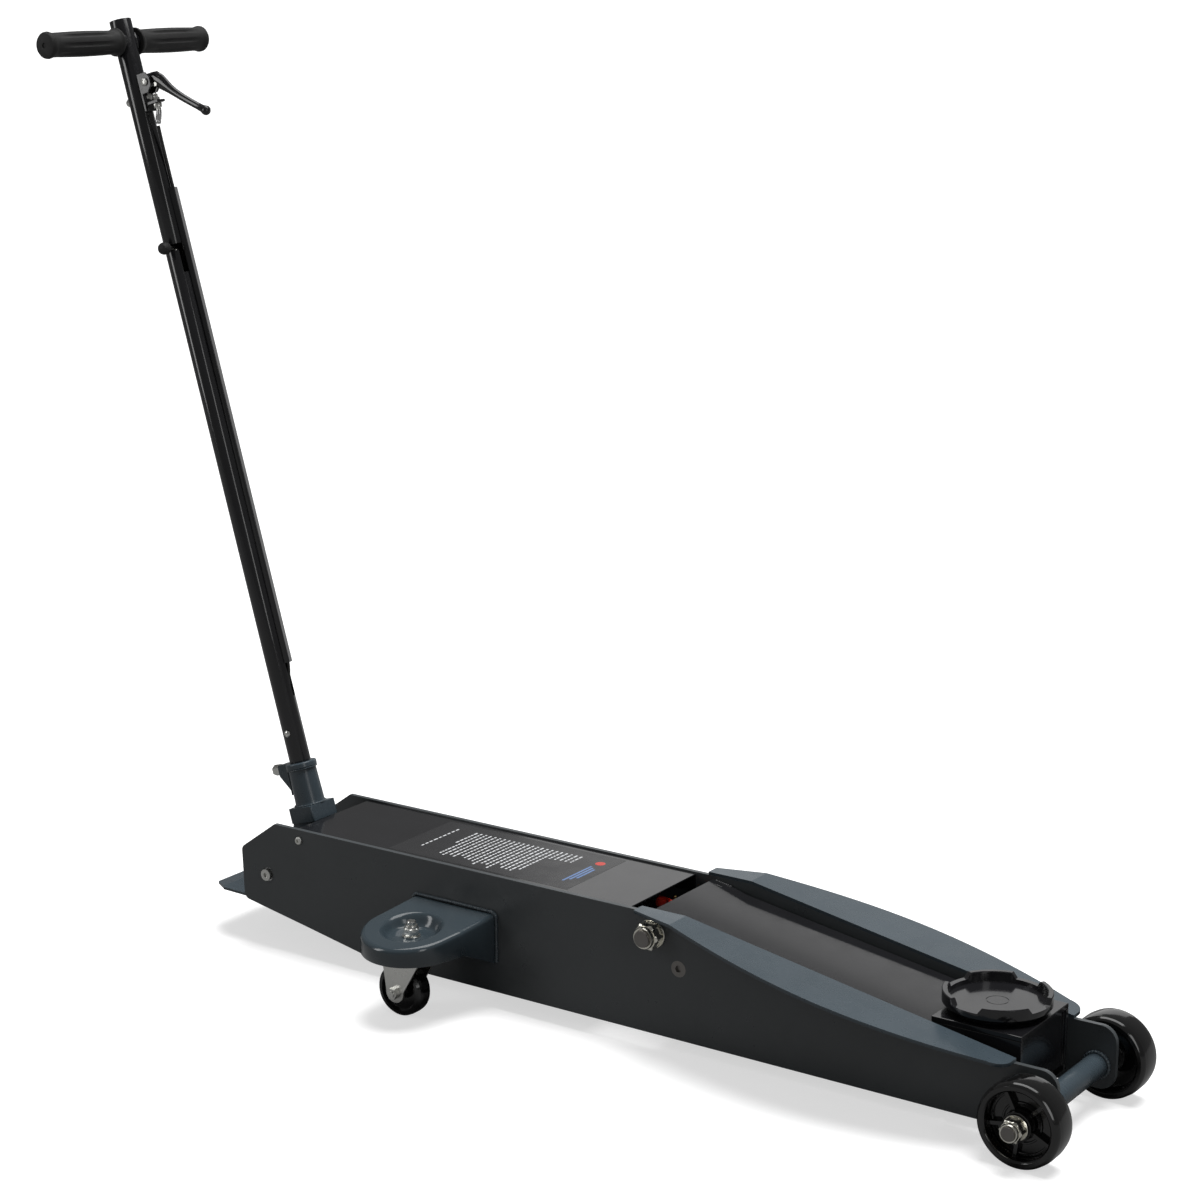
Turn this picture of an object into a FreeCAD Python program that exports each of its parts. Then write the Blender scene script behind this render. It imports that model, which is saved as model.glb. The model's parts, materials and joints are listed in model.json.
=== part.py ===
# Long-chassis hydraulic service jack, millimetres, +Z up, +X towards the saddle.
# It is built with its origin on the floor under the front axle, then every node
# is moved so that the origin is the centre of the bounding box's underside.
import FreeCAD, Part
import math
import os

V = FreeCAD.Vector
X_AXIS, Y_AXIS, Z_AXIS = V(1, 0, 0), V(0, 1, 0), V(0, 0, 1)

# ---- driving dimensions -------------------------------------------------
# Clearances
RUN = 0.06            # radial running fit of a pin in its hole
SEAT = 0.05           # radial gap of a fixed pin or tube in its hole
GAP = 1.0             # side gap between flat plates that slide past each other
OFF = 0.3             # gap between curved faces that do not touch

# Chassis
WIDTH = 158.0         # over the side plates
PLATE = 6.0           # side plate thickness
REAR_X = -1139.0      # rear edge of the side plates
NOSE_X = 23.0         # front edge of the side plates
PLATE_TOP = 172.0     # top edge over the level part
PLATE_LOW = 22.0      # bottom edge over the level part
BEND_X = -456.0       # where the top edge starts to fall
FALL_END_X = -30.0    # where it stops
NOSE_TOP = 98.0
NOSE_R = 20.0
REAR_CORNER_R = 9.0
REAR_LEAN = 3.0      # how far the rear edge leans forward at its foot
COUNTERSINK = 3.0
REAR_TOP_X = -1082.0  # top of the rear chamfer
REAR_CHAMFER_Z = 131.0
REAR_LOW_Z = 62.0
TAIL_START_X = -920.0  # bottom edge rises from here to the rear
TAIL_MID_X = -1034.0
TAIL_MID_Z = 43.5
FLANGE = 4.0          # thickness of the leaf-shaped top flanges
FLANGE_REAR_X = -517.0
FLANGE_REAR_REACH = 12.0   # how far the flange stands out at its rear end
FLANGE_MAX_REACH = 62.0
FLANGE_MAX_X = -250.0
FLANGE_FRONT_REACH = 27.0
BASE = 4.0            # base plate thickness
TAIL_LIP_X = -1211.0  # rear lip of the base plate
TAIL_CORNER = 26.0

COVER_SCREW_X, COVER_SCREW_DROP = -1040.5, 14.2   # from the plate's top edge
COVER_SCREW_R = 3.0
COVER_SCREW_HEAD = (5.3, 3.2)   # radius and height
COVER_SCREW_GRIP = 12.0         # length behind the plate's outer face
COVER_REAR_X, COVER_FRONT_X = -1050.0, -535.0
COVER_TOP = PLATE_TOP - 2.0
SHEET = 2.0
COVER_SKIRT = 22.0
BEARER_X = -995.0    # rear face of the bar that carries the pump
BEARER_W = 20.0
BEARER_H = 5.0

# Front axle
FRONT_R = 50.0        # front wheel radius
FRONT_W = 39.0        # front wheel width
FRONT_OUT = 32.0      # from the side plate to a front wheel's mid-plane
HUB_REACH = (17.0, 19.0)   # hub ends from that plane, inwards and outwards
AXLE_STUB = 21.5      # how far the axle stands out of the wheel
AXLE_R = 8.0
AXLE_TUBE_R = 14.0
WHEEL_HUB_R = 17.0
WHEEL_RIM_R = 39.0
WEB_OUT, WEB_IN = 4.0, -6.0   # the wheel web's faces, from its mid-plane
RIB_OUT = 11.0
RIB_HALF = 2.2
RIB_COUNT = 5
RIB_TURN = 26.0
SPACER_R = 15.0
AXLE_NUT = (24.0, 12.0, 14.5, 2.5)    # across flats, height, washer radius and thickness

# Lift linkage
PIVOT = (-498.0, 147.4)    # lift arm pivot (x, z)
LEVEL = (36.0, -36.7)      # from the arm's pins to the levelling rod's pins
ARM_TIP = (-90.0, 82.0)    # carrier pin (x, z)
PIVOT_R = 12.0
PIVOT_END_R = 10.0
PIVOT_END = 25.0      # how far the shaft stands out of the plates
PIVOT_NUT = (30.0, 15.0, 17.5, 3.0)   # across flats, height, washer radius and thickness
CARRIER_PIN_R = 10.0
ROD_PIN_R = 7.0
ROD_H = 22.0
ROD_EYE_R = 13.0
ROD_SOCKET = 8.0      # hexagon in the rod's bolt
ROD_COLLAR = 4.0      # how far the front pin's collar stands round it
ARM_PLATE = 5.0
ARM_BOSS_R = 21.0
ARM_TIP_R = 15.0
ARM_WIDE = 28.0       # length of the top plate's wide rear end
ARM_NARROW = 52.0     # where it has narrowed to the arm
ARM_TOP_REAR = (-509.0, 168.8)
ARM_TOP_FRONT = (-142.0, 110.0)
LIFT_DEG = 55.0
PIVOT_BOSS_R = 18.0
LUG_IN, LUG_T = 14.0, 8.0   # inner face and thickness of a ram lug
LUG_R = 70.0          # from the arm pivot to the ram pin
RAM_PIN_R = 8.0
LUG_EYE_R = 15.0
LUG_ROOT_HALF = 15.0
LUG_TIP_HALF = 13.0
PIN_PLAY = 1.0        # the ram pin's play in its slot: the open pivot

# Saddle and its carrier
SADDLE_R = 62.0
SADDLE_FLOOR = 131.0
SADDLE_RIM = 136.5
SADDLE_LUG = 143.5
SADDLE_WALL = 6.5
CARRIER_TOP = 121.0
CARRIER_FRONT_X = -31.0
CARRIER_REAR_X = -141.0
CARRIER_LOW = 34.0
CARRIER_SHEET = 6.0
CARRIER_WEB_HALF = 3.0
STEM_R = 15.0
STEM_LEN = 20.0
STEM_BOSS = 8.0       # wall of the boss round the stem
SADDLE_TAPER = 9.0
NOTCH_HALF_DEG = 15.5
NOTCH_SLOPE_DEG = 6.0
NOTCH_COUNT = 4
DISH_RING = (13.0, 12.0, 0.6)   # outer and inner radius and depth of the groove
LUG_TURN = 124.5      # degrees from +X to the first saddle lug

# Hydraulics
RAM_R = 12.0
BARREL_R = 30.0
BORE_R = 22.0
TANK_R = 46.0
TANK_WALL = 3.0
BLOCK_REAR_X = -1020.0
BLOCK_FRONT_X = -940.0
BULKHEAD_X = -600.0
BULKHEAD = 8.0
BLOCK_LOW = 48.0
BLOCK_HALF = 45.0
BLOCK_EDGE_R = 6.0
GLAND = 17.0          # barrel's length in front of the bulkhead
GLAND_HEX = 10.0
BORE_WALL = 12.0      # solid end of the barrel
ROD_LEN = 135.0
PISTON_LEN = 18.0
HEAD_HALF = (20.0, 24.0)   # crosshead's half length and half height
HEAD_EDGE_R = 8.0
PLUNGER_BORE = 65.0
VALVE_DEPTH = 20.0
VALVE_ARM = (10.0, 28.0, 4.0)   # width, length and thickness
VALVE = (-975.0, 26.0)   # release valve stem (x, y)
VALVE_R = 5.0
SHELF_Z = 131.0       # underside of the filler shelf
SHELF_T = 5.0
CAP = (-556.0, 28.0)
NIPPLE = (-547.0, 44.0)
SHELF_LEN = 56.0
SHELF_Y = (10.0, 56.0)
CAP_NECK_R, CAP_NECK_H = 6.0, 3.0
CAP_R, CAP_H = 7.5, 9.0
CAP_TAB = (16.0, 3.0, 3.0)   # reach, half width and thickness
CAP_HOLE_R = 1.6
NIPPLE_HEX, NIPPLE_HEX_H = 8.0, 5.0
NIPPLE_R, NIPPLE_TIP_R, NIPPLE_H = 2.6, 3.0, 10.0

# Handle
LEAN = 16.0           # degrees back from vertical at rest
HANDLE_FOOT = (-1087.4, 178.0)   # top of the yoke block on the handle's axis
TUBE_R = 14.0
TUBE_WALL = 2.5
TUBE_TOP = 1040.0     # along the handle from its foot
SOCKET_WALL = (5.5, 4.2, 6.5)   # yoke socket at its foot, at its top and at its collar
TUBE_FOOT = -16.0
TBAR_DROP = 28.0      # from the tube's top to the T-bar
TBAR_R = 11.0
GRIP_GAP = 2.0        # from the tube to a grip's inner end
GRIP_OUT = 143.0
GRIP_R = 15.5
YOKE_PIVOT = (-1096.0, 101.3)
YOKE_HUB_R = 16.0
YOKE_PIN_R = 9.0
YOKE_SCREW = (5.0, 7.6, 4.0, 6.0)   # shank and head radius, head height, hexagon
NOSE_ARM = 31.0
NOSE_TIP_R = 7.0
PUMP_UP_DEG = 8.0
PUMP_DOWN_DEG = 59.0
PLUNGER_R = 7.0
PLUNGER_Z = 73.0
PLUNGER_LEN = 108.0
CLAMP_S = 50.0
PLUNGER_GAP = 1.0     # nose to plunger: the open contact
LEVER_DROP, LEVER_OUT = 86.0, 11.3   # its pivot from the tube's top and from its wall
LEVER_PIN_R = 3.0
LEVER_BOSS_R = 7.5
LEVER_ARM = ((22.7, -15.0), (82.5, -58.2))    # its ends, from the lever's pivot
LEVER_BALL_R = 6.3
FOLD_BELOW, FOLD_ABOVE = 36.0, 12.0           # the lever bracket from the pivot
FOLD_HALF, FOLD_SHEET = 9.5, 2.5
CLAMP_BOLT = (4.0, 13.0, 6.5)                 # radius, across flats and head height
BRACKET_BOLT_R = 3.0
ADJUST_OUT = 15.0     # the adjuster's axis from the tube's wall
ADJUST_R = 3.2
ADJUST_BELOW = (17.0, 39.0)   # its top and foot under the lever's pivot
SPOUT_OUT, SPOUT_BELOW = 8.4, 54.0   # where the cable leaves it
TAB_BELOW = (28.5, 25.5)
BRACKET_BOLT_BELOW = 17.5
CABLE_R = 2.2
CABLE_TURN = 20.0     # degrees round the tube from straight ahead
CHANNEL_LOW, CHANNEL_DROP = 188.0, 222.0   # its foot, and its top from the tube's top
SLOT_DROP, SLOT_LEN = 293.0, 38.0
SLOT_W = 8.6
STEM_TURN = 75.0
SLOT_TURN = 14.0
LOCK_R = 3.0
KNOB_LEN = 16.0
LOCK_FOOT = 12.0

# Casters
CASTER_X = -800.0
CASTER_OUT = 74.0     # from the side plate to the kingpin
CASTER_R = 33.0
CASTER_W = 24.0
CASTER_TRAIL = 12.0
WING_REAR_X, WING_FRONT_X = -851.0, -727.0   # where the bracket meets the chassis
WING_END_R = 62.0
WING_TOP = 124.0
WING_SLOPE = 7.4     # degrees down, away from the chassis
WING_SKIRT = 22.0
WING_LOW = 59.0
WING_SHEET = 4.0
DISH_R = 36.0
DISH_FLOOR = 102.5
KINGPIN_R = 6.0
KINGPIN_HEAD = (11.0, 5.0)      # radius and height
KINGPIN_NUT = (18.0, 10.0)      # across flats and height
KINGPIN_WASHER = (11.0, 2.2)    # radius and thickness
RACE = (20.0, 4.0)              # radius and height of the swivel bearing
FORK_HALF = 16.5
FORK_T = 3.0
FORK_REAR, FORK_FRONT = 27.0, 24.0   # its top plate from the kingpin
FORK_EYE_R = 13.0
CASTER_AXLE_R = 4.0
CASTER_NUT = (13.0, 6.5)        # across flats and height

# ---- worked out from them ------------------------------------------------
HALF = WIDTH / 2
INNER = HALF - PLATE
ROD_OUT = INNER - GAP
ROD_IN = ROD_OUT - ARM_PLATE
ARM_OUT = ROD_IN - GAP
ARM_IN = ARM_OUT - ARM_PLATE
CARRIER_HALF = ARM_IN - GAP
FRONT_Y = HALF + FRONT_OUT
HUB_IN, HUB_OUT = FRONT_Y - HUB_REACH[0], FRONT_Y + HUB_REACH[1]
AXLE_END = FRONT_Y + FRONT_W / 2 + AXLE_STUB
CASTER_Y = HALF + CASTER_OUT
COVER_SCREW = (COVER_SCREW_X, PLATE_TOP - COVER_SCREW_DROP)
TBAR_S = TUBE_TOP - TBAR_DROP
GRIP_IN = TUBE_R + GRIP_GAP
LEVER_S, LEVER_N = TUBE_TOP - LEVER_DROP, TUBE_R + LEVER_OUT
FOLD_LOW, FOLD_TOP = LEVER_S - FOLD_BELOW, LEVER_S + FOLD_ABOVE
ADJUST_N = TUBE_R + ADJUST_OUT
ADJUST_TOP, ADJUST_LOW = LEVER_S - ADJUST_BELOW[0], LEVER_S - ADJUST_BELOW[1]
TAB_LOW, TAB_TOP = LEVER_S - TAB_BELOW[0], LEVER_S - TAB_BELOW[1]
BRACKET_BOLT_S = LEVER_S - BRACKET_BOLT_BELOW
CHANNEL_TOP = TUBE_TOP - CHANNEL_DROP
SLOT_TOP = TUBE_TOP - SLOT_DROP
SLOT_LOW = SLOT_TOP - SLOT_LEN
ARM_LEN = math.hypot(ARM_TIP[0] - PIVOT[0], ARM_TIP[1] - PIVOT[1])
ROD_REAR = (PIVOT[0] + LEVEL[0], PIVOT[1] + LEVEL[1])
ROD_FRONT = (ARM_TIP[0] + LEVEL[0], ARM_TIP[1] + LEVEL[1])
TUBE_IN = TUBE_R - TUBE_WALL
PUMP_MID = (PUMP_DOWN_DEG - PUMP_UP_DEG) / 2
HALF_LIFT = math.radians(LIFT_DEG / 2)
RAM_PIN = (PIVOT[0] - LUG_R * math.sin(HALF_LIFT), PIVOT[1] - LUG_R * math.cos(HALF_LIFT))
RAM_Z = PIVOT[1] - LUG_R * (1 + math.cos(HALF_LIFT)) / 2
ARM_FALL = (ARM_TOP_FRONT[1] - ARM_TOP_REAR[1]) / (ARM_TOP_FRONT[0] - ARM_TOP_REAR[0])
ARM_DROP = ARM_PLATE * math.hypot(1, ARM_FALL)
CHANNEL_OUT = TUBE_R + OFF + 2 * CABLE_R + OFF + 1.5
KNOB_IN = CHANNEL_OUT + 0.5
nodes = {}


# ---- helpers ---------------------------------------------------------------
def box(x0, x1, y0, y1, z0, z1):
    return Part.makeBox(x1 - x0, y1 - y0, z1 - z0, V(x0, y0, z0))


def rod(start, direction, radius, length):
    return Part.makeCylinder(radius, length, V(*start), direction)


def across(x, z, radius, y0, y1):
    """A cylinder along Y."""
    return rod((x, y0, z), Y_AXIS, radius, y1 - y0)


def prism(points, y0, y1):
    """A side-view outline of (x, z) points, given thickness along Y."""
    corners = [V(x, y0, z) for x, z in points]
    face = Part.Face(Part.makePolygon(corners + corners[:1]))
    return face.extrude(V(0, y1 - y0, 0))


def slab(points, z0, z1):
    """A plan outline of (x, y) points, given thickness along Z."""
    corners = [V(x, y, z0) for x, y in points]
    face = Part.Face(Part.makePolygon(corners + corners[:1]))
    return face.extrude(V(0, 0, z1 - z0))


def hexagon(start, direction, across_flats, length):
    radius = across_flats / math.sqrt(3)
    points = []
    for i in range(6):
        turn = math.radians(60 * i)
        points.append(V(radius * math.cos(turn), radius * math.sin(turn), 0))
    solid = Part.Face(Part.makePolygon(points + points[:1])).extrude(V(0, 0, length))
    solid.Placement = FreeCAD.Placement(V(*start), FreeCAD.Rotation(Z_AXIS, direction))
    return solid


def mirrored(shape):
    return shape.mirror(V(0, 0, 0), Y_AXIS)


def joined(shapes):
    shapes = list(shapes)
    if len(shapes) == 1:
        return shapes[0]
    return shapes[0].fuse(shapes[1:]).removeSplitter()


def both_sides(shape):
    return Part.Compound([shape, mirrored(shape)])


def round_edges(shape, direction, radius, wanted=lambda edge: True):
    """Fillet the straight edges that run along a direction."""
    edges = []
    for edge in shape.Edges:
        if isinstance(edge.Curve, Part.Line) and abs(edge.Curve.Direction.dot(direction)) > 0.999:
            if wanted(edge):
                edges.append(edge)
    return shape.makeFillet(radius, edges) if edges else shape


def revolved(points, y_mid, x, z, axis=Y_AXIS):
    """Turn a profile of (radius, offset) points about an axis through (x, y_mid, z)."""
    corners = [V(r, 0, h) for r, h in points]
    face = Part.Face(Part.makePolygon(corners + corners[:1]))
    solid = face.revolve(V(0, 0, 0), Z_AXIS, 360)
    solid.Placement = FreeCAD.Placement(V(x, y_mid, z), FreeCAD.Rotation(Z_AXIS, axis))
    return solid


def nut_set(y_face, x, z, bolt_r, flats, height, washer_r, washer_t):
    """Washer and lock nut on a thread that points away from the chassis along +Y."""
    bore = bolt_r + SEAT
    washer = across(x, z, washer_r, y_face, y_face + washer_t)
    nut = hexagon((x, y_face + washer_t, z), Y_AXIS, flats, height)
    crown = across(x, z, flats * 0.46, y_face + washer_t + height, y_face + washer_t + height * 1.35)
    hole = across(x, z, bore, y_face - 1, y_face + washer_t + height * 2)
    return [washer.cut(hole), joined([nut, crown]).cut(hole)]


# ---- chassis ---------------------------------------------------------------
def plate_outline():
    return [(REAR_X + REAR_LEAN, REAR_LOW_Z), (REAR_X, REAR_CHAMFER_Z), (REAR_TOP_X, PLATE_TOP),
            (BEND_X, PLATE_TOP), (FALL_END_X, NOSE_TOP), (NOSE_X, NOSE_TOP), (NOSE_X, PLATE_LOW),
            (TAIL_START_X, PLATE_LOW), (TAIL_MID_X, TAIL_MID_Z)]


def side_plate():
    plate = prism(plate_outline(), INNER, HALF)
    plate = round_edges(plate, Y_AXIS, NOSE_R, lambda e: e.Vertexes[0].X > NOSE_X - 1)
    plate = round_edges(plate, Y_AXIS, REAR_CORNER_R, lambda e: e.Vertexes[0].X < REAR_X + 10)
    for (x, z), radius in ((PIVOT, PIVOT_R), (ROD_REAR, ROD_PIN_R), (YOKE_PIVOT, YOKE_PIN_R),
                           ((0.0, FRONT_R), AXLE_R), (COVER_SCREW, COVER_SCREW_R)):
        plate = plate.cut(across(x, z, radius + SEAT, INNER - 1, HALF + 1))
    return plate.cut(countersunk(SEAT))


def countersunk(clearance):
    """The conical head of a radius rod's bolt, flush with the plate."""
    x, z = ROD_REAR
    radius = ROD_PIN_R + clearance
    root = V(x, HALF - COUNTERSINK, z)
    return Part.makeCone(radius, radius + COUNTERSINK, COUNTERSINK, root, Y_AXIS)


def flange():
    """A leaf-shaped strip on the plate's top edge that stands out beyond the plate."""
    front_y = HALF + FLANGE_FRONT_REACH
    points = [V(FLANGE_REAR_X, HALF + FLANGE_REAR_REACH, 0),
              V((FLANGE_REAR_X + BEND_X) / 2, HALF + FLANGE_REAR_REACH + 9, 0),
              V((BEND_X + FLANGE_MAX_X) / 2, HALF + FLANGE_MAX_REACH * 0.86, 0),
              V(FLANGE_MAX_X, HALF + FLANGE_MAX_REACH, 0),
              V((FLANGE_MAX_X + FALL_END_X) / 2, HALF + FLANGE_MAX_REACH * 0.82, 0),
              V(FALL_END_X - 20, front_y, 0)]
    outer = Part.BSplineCurve()
    outer.interpolate(points)
    nose = V(FALL_END_X, front_y - 20, 0)
    tip = Part.Arc(points[-1], V(FALL_END_X - 5, front_y - 7, 0), nose)
    close = [Part.LineSegment(nose, V(FALL_END_X, INNER, 0)),
             Part.LineSegment(V(FALL_END_X, INNER, 0), V(FLANGE_REAR_X, INNER, 0)),
             Part.LineSegment(V(FLANGE_REAR_X, INNER, 0), points[0])]
    wire = Part.Wire([c.toShape() for c in [outer, tip] + close])
    leaf = Part.Face(wire).extrude(V(0, 0, 400))
    fall = (NOSE_TOP - PLATE_TOP) / (FALL_END_X - BEND_X)
    band = [(FLANGE_REAR_X - 1, PLATE_TOP), (BEND_X, PLATE_TOP), (FALL_END_X + 1, NOSE_TOP + fall),
            (FALL_END_X + 1, NOSE_TOP + fall + FLANGE), (BEND_X, PLATE_TOP + FLANGE),
            (FLANGE_REAR_X - 1, PLATE_TOP + FLANGE)]
    return leaf.common(prism(band, INNER - 1, HALF + FLANGE_MAX_REACH + 10))


def base_plate():
    """Floor sheet between the plates, whose rear end stands out as a lip."""
    low = [(TAIL_LIP_X, REAR_LOW_Z - 6), (TAIL_LIP_X + 30, REAR_LOW_Z), (REAR_X + REAR_LEAN, REAR_LOW_Z - 1),
           (TAIL_MID_X, TAIL_MID_Z), (TAIL_START_X, PLATE_LOW), (BULKHEAD_X + BULKHEAD, PLATE_LOW)]
    top = [(x, z + BASE) for x, z in reversed(low)]
    sheet = prism(low + top, -INNER, INNER)
    rear, ahead = TAIL_LIP_X - 1, TAIL_LIP_X + TAIL_CORNER * 1.3
    corner = slab([(rear, INNER - TAIL_CORNER), (ahead, INNER + 1), (rear, INNER + 1)], 0, PLATE_TOP)
    return sheet.cut(corner).cut(mirrored(corner))


def top_cover():
    cover = box(COVER_REAR_X, COVER_FRONT_X, -INNER, INNER, COVER_TOP - COVER_SKIRT, COVER_TOP)
    cover = round_edges(cover, X_AXIS, SHEET, lambda e: e.Vertexes[0].Z > COVER_TOP - 1)
    inside = box(COVER_REAR_X - 1, COVER_FRONT_X + 1, SHEET - INNER, INNER - SHEET,
                 COVER_TOP - COVER_SKIRT - 1, COVER_TOP - SHEET)
    screw = across(COVER_SCREW[0], COVER_SCREW[1], COVER_SCREW_R + SEAT, -HALF, HALF)
    return cover.cut(inside).cut(screw)


def cover_screw():
    x, z = COVER_SCREW
    head_r, head_t = COVER_SCREW_HEAD
    shank = across(x, z, COVER_SCREW_R, HALF - COVER_SCREW_GRIP, HALF)
    head = across(x, z, head_r, HALF, HALF + head_t)
    rings = [e for e in head.Edges if isinstance(e.Curve, Part.Circle)]
    rim = [e for e in rings if e.BoundBox.YMin > HALF + head_t - OFF]
    head = head.makeFillet(head_t * 0.6, rim)
    socket = hexagon((x, HALF + head_t * 0.4, z), Y_AXIS, head_r * 0.75, head_t)
    return joined([shank, head]).cut(socket)


def cross_members():
    """The bulkhead round the barrel's front end and the bar under the pump block."""
    top = COVER_TOP - COVER_SKIRT - 2
    bulkhead = box(BULKHEAD_X, BULKHEAD_X + BULKHEAD, -INNER, INNER, PLATE_LOW + BASE + SEAT, top)
    bulkhead = bulkhead.cut(rod((BULKHEAD_X - 1, 0, RAM_Z), X_AXIS, BARREL_R + SEAT, BULKHEAD + 2))
    bearer = box(BEARER_X, BEARER_X + BEARER_W, -INNER, INNER, BLOCK_LOW - BEARER_H, BLOCK_LOW)
    return Part.Compound([bulkhead, bearer])


def radius_rod_bolt():
    x, z = ROD_REAR
    shank = across(x, z, ROD_PIN_R, ROD_IN, HALF - COUNTERSINK)
    socket = hexagon((x, HALF - COUNTERSINK, z), Y_AXIS, ROD_SOCKET, COUNTERSINK + 1)
    return joined([shank, countersunk(0)]).cut(socket)


def yoke_pivot_screw():
    x, z = YOKE_PIVOT
    shank_r, head_r, head_t, socket = YOKE_SCREW
    shank = across(x, z, shank_r, HALF - 2.9, HALF)
    head = across(x, z, head_r, HALF, HALF + head_t)
    return joined([shank, head]).cut(hexagon((x, HALF + 1.5, z), Y_AXIS, socket, head_t))


def build_front_axle():
    tube = across(0, FRONT_R, AXLE_TUBE_R, -INNER, INNER)
    nodes["front_axle_tube"] = tube.cut(across(0, FRONT_R, AXLE_R + SEAT, -HALF, HALF))
    nodes["front_axle"] = across(0, FRONT_R, AXLE_R, -AXLE_END, AXLE_END)
    nuts = nut_set(HUB_OUT + OFF, 0, FRONT_R, AXLE_R, *AXLE_NUT)
    nodes["front_axle_nuts"] = Part.Compound(nuts + [mirrored(n) for n in nuts])
    spacer = across(0, FRONT_R, SPACER_R, HALF, HUB_IN - OFF)
    nodes["axle_spacers"] = both_sides(spacer.cut(across(0, FRONT_R, AXLE_R + SEAT, 0, HUB_IN)))


def build_lift_pivot():
    x, z = PIVOT
    ends = across(x, z, PIVOT_END_R, -HALF - PIVOT_END, HALF + PIVOT_END)
    nodes["lift_pivot_shaft"] = joined([across(x, z, PIVOT_R, -HALF, HALF), ends])
    nuts = nut_set(HALF, x, z, PIVOT_END_R, *PIVOT_NUT)
    nodes["lift_pivot_nuts"] = Part.Compound(nuts + [mirrored(n) for n in nuts])


def build_chassis():
    plate = side_plate()
    nodes["side_plate_left"] = plate
    nodes["side_plate_right"] = mirrored(plate)
    nodes["top_flanges"] = both_sides(flange())
    nodes["base_plate"] = base_plate()
    nodes["top_cover"] = top_cover()
    nodes["cover_screws"] = both_sides(cover_screw())
    nodes["cross_members"] = cross_members()
    build_front_axle()
    build_lift_pivot()
    nodes["radius_rod_bolts"] = both_sides(radius_rod_bolt())
    nodes["yoke_pivot_shaft"] = across(*YOKE_PIVOT, YOKE_PIN_R, 3 - HALF, HALF - 3)
    nodes["yoke_pivot_screws"] = both_sides(yoke_pivot_screw())


# ---- front wheels ----------------------------------------------------------
def front_wheel():
    """Cast wheel with a crowned tread, a recessed web and ribs on its outer face."""
    half = FRONT_W / 2
    out, inward = HUB_OUT - FRONT_Y, HUB_IN - FRONT_Y
    profile = [(AXLE_R + RUN, inward), (WHEEL_HUB_R, inward), (WHEEL_HUB_R + 1.5, WEB_IN),
               (WHEEL_RIM_R - 1.5, WEB_IN), (WHEEL_RIM_R, 2 - half), (WHEEL_RIM_R + 2, -half),
               (FRONT_R - 4.5, -half), (FRONT_R - 1.2, 4 - half), (FRONT_R, -half * 0.4),
               (FRONT_R, half * 0.4), (FRONT_R - 1.2, half - 4), (FRONT_R - 4.5, half),
               (WHEEL_RIM_R + 2, half), (WHEEL_RIM_R, half - 2), (WHEEL_RIM_R - 1.5, WEB_OUT),
               (WHEEL_HUB_R + 1.5, WEB_OUT), (WHEEL_HUB_R, out), (AXLE_R + RUN, out)]
    wheel = revolved(profile, FRONT_Y, 0, FRONT_R)
    ribs = []
    for i in range(RIB_COUNT):
        rib = box(WHEEL_HUB_R - 2, WHEEL_RIM_R, FRONT_Y + WEB_OUT - 1, FRONT_Y + RIB_OUT, -RIB_HALF, RIB_HALF)
        rib.rotate(V(0, 0, 0), Y_AXIS, 360 / RIB_COUNT * i + RIB_TURN)
        rib.translate(V(0, 0, FRONT_R))
        ribs.append(rib)
    return joined([wheel] + ribs)


def build_front_wheels():
    wheel = front_wheel()
    nodes["front_wheel_left"] = wheel
    nodes["front_wheel_right"] = mirrored(wheel)


# ---- lift arm, levelling rods, carrier and saddle ---------------------------
def arm_side():
    px, pz = PIVOT
    tx, tz = ARM_TIP
    rear_x, rear_z = ARM_TOP_REAR[0], ARM_TOP_REAR[1] - ARM_DROP
    front_x, front_z = ARM_TOP_FRONT[0], ARM_TOP_FRONT[1] - ARM_DROP
    outline = [(rear_x + 2, rear_z), (front_x, front_z), (tx + 4, tz + 14), (tx + 2, tz - 14),
               (tx - 60, tz - 12), (px + 110, pz - 52), (px + 40, pz - 40), (px - 4, pz - 21), (px - 20, pz)]
    side = joined([prism(outline, ARM_IN, ARM_OUT), across(px, pz, ARM_BOSS_R, ARM_IN, ARM_OUT),
                   across(tx, tz, ARM_TIP_R, ARM_IN, ARM_OUT)])
    side = side.cut(across(px, pz, PIVOT_R + RUN, 0, HALF)).cut(across(tx, tz, CARRIER_PIN_R + SEAT, 0, HALF))
    above = [(rear_x - 20, PLATE_TOP), (rear_x - 20, rear_z + 3.2), (rear_x, rear_z), (front_x, front_z),
             (front_x, PLATE_TOP)]
    return side.cut(prism(above, 0, HALF))


def arm_top_plate():
    """Sloping plate with a wide rear end that narrows to the arm's width."""
    rear, front = ARM_TOP_REAR, ARM_TOP_FRONT
    strip = prism([rear, front, (front[0], front[1] - ARM_DROP), (rear[0], rear[1] - ARM_DROP)], -HALF, HALF)
    wide = INNER - GAP
    shape = [(rear[0] - 1, -wide), (rear[0] + ARM_WIDE, -wide), (rear[0] + ARM_NARROW, -ARM_OUT),
             (front[0] + 1, -ARM_OUT)]
    plan = slab(shape + [(x, -y) for x, y in reversed(shape)], 0, 2 * PLATE_TOP)
    return strip.common(plan).cut(across(*PIVOT, PIVOT_BOSS_R, -HALF, HALF))


def ram_lug():
    px, pz = PIVOT
    lx, lz = RAM_PIN
    outline = [(px - LUG_ROOT_HALF, pz - 6), (px + LUG_ROOT_HALF, pz - 6), (lx + LUG_TIP_HALF, lz),
               (lx - LUG_TIP_HALF, lz)]
    eye = across(lx, lz, LUG_EYE_R, LUG_IN, LUG_IN + LUG_T)
    lug = joined([prism(outline, LUG_IN, LUG_IN + LUG_T), eye])
    return lug.cut(across(px, pz, PIVOT_BOSS_R, 0, HALF)).cut(across(lx, lz, RAM_PIN_R + SEAT, 0, HALF))


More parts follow.
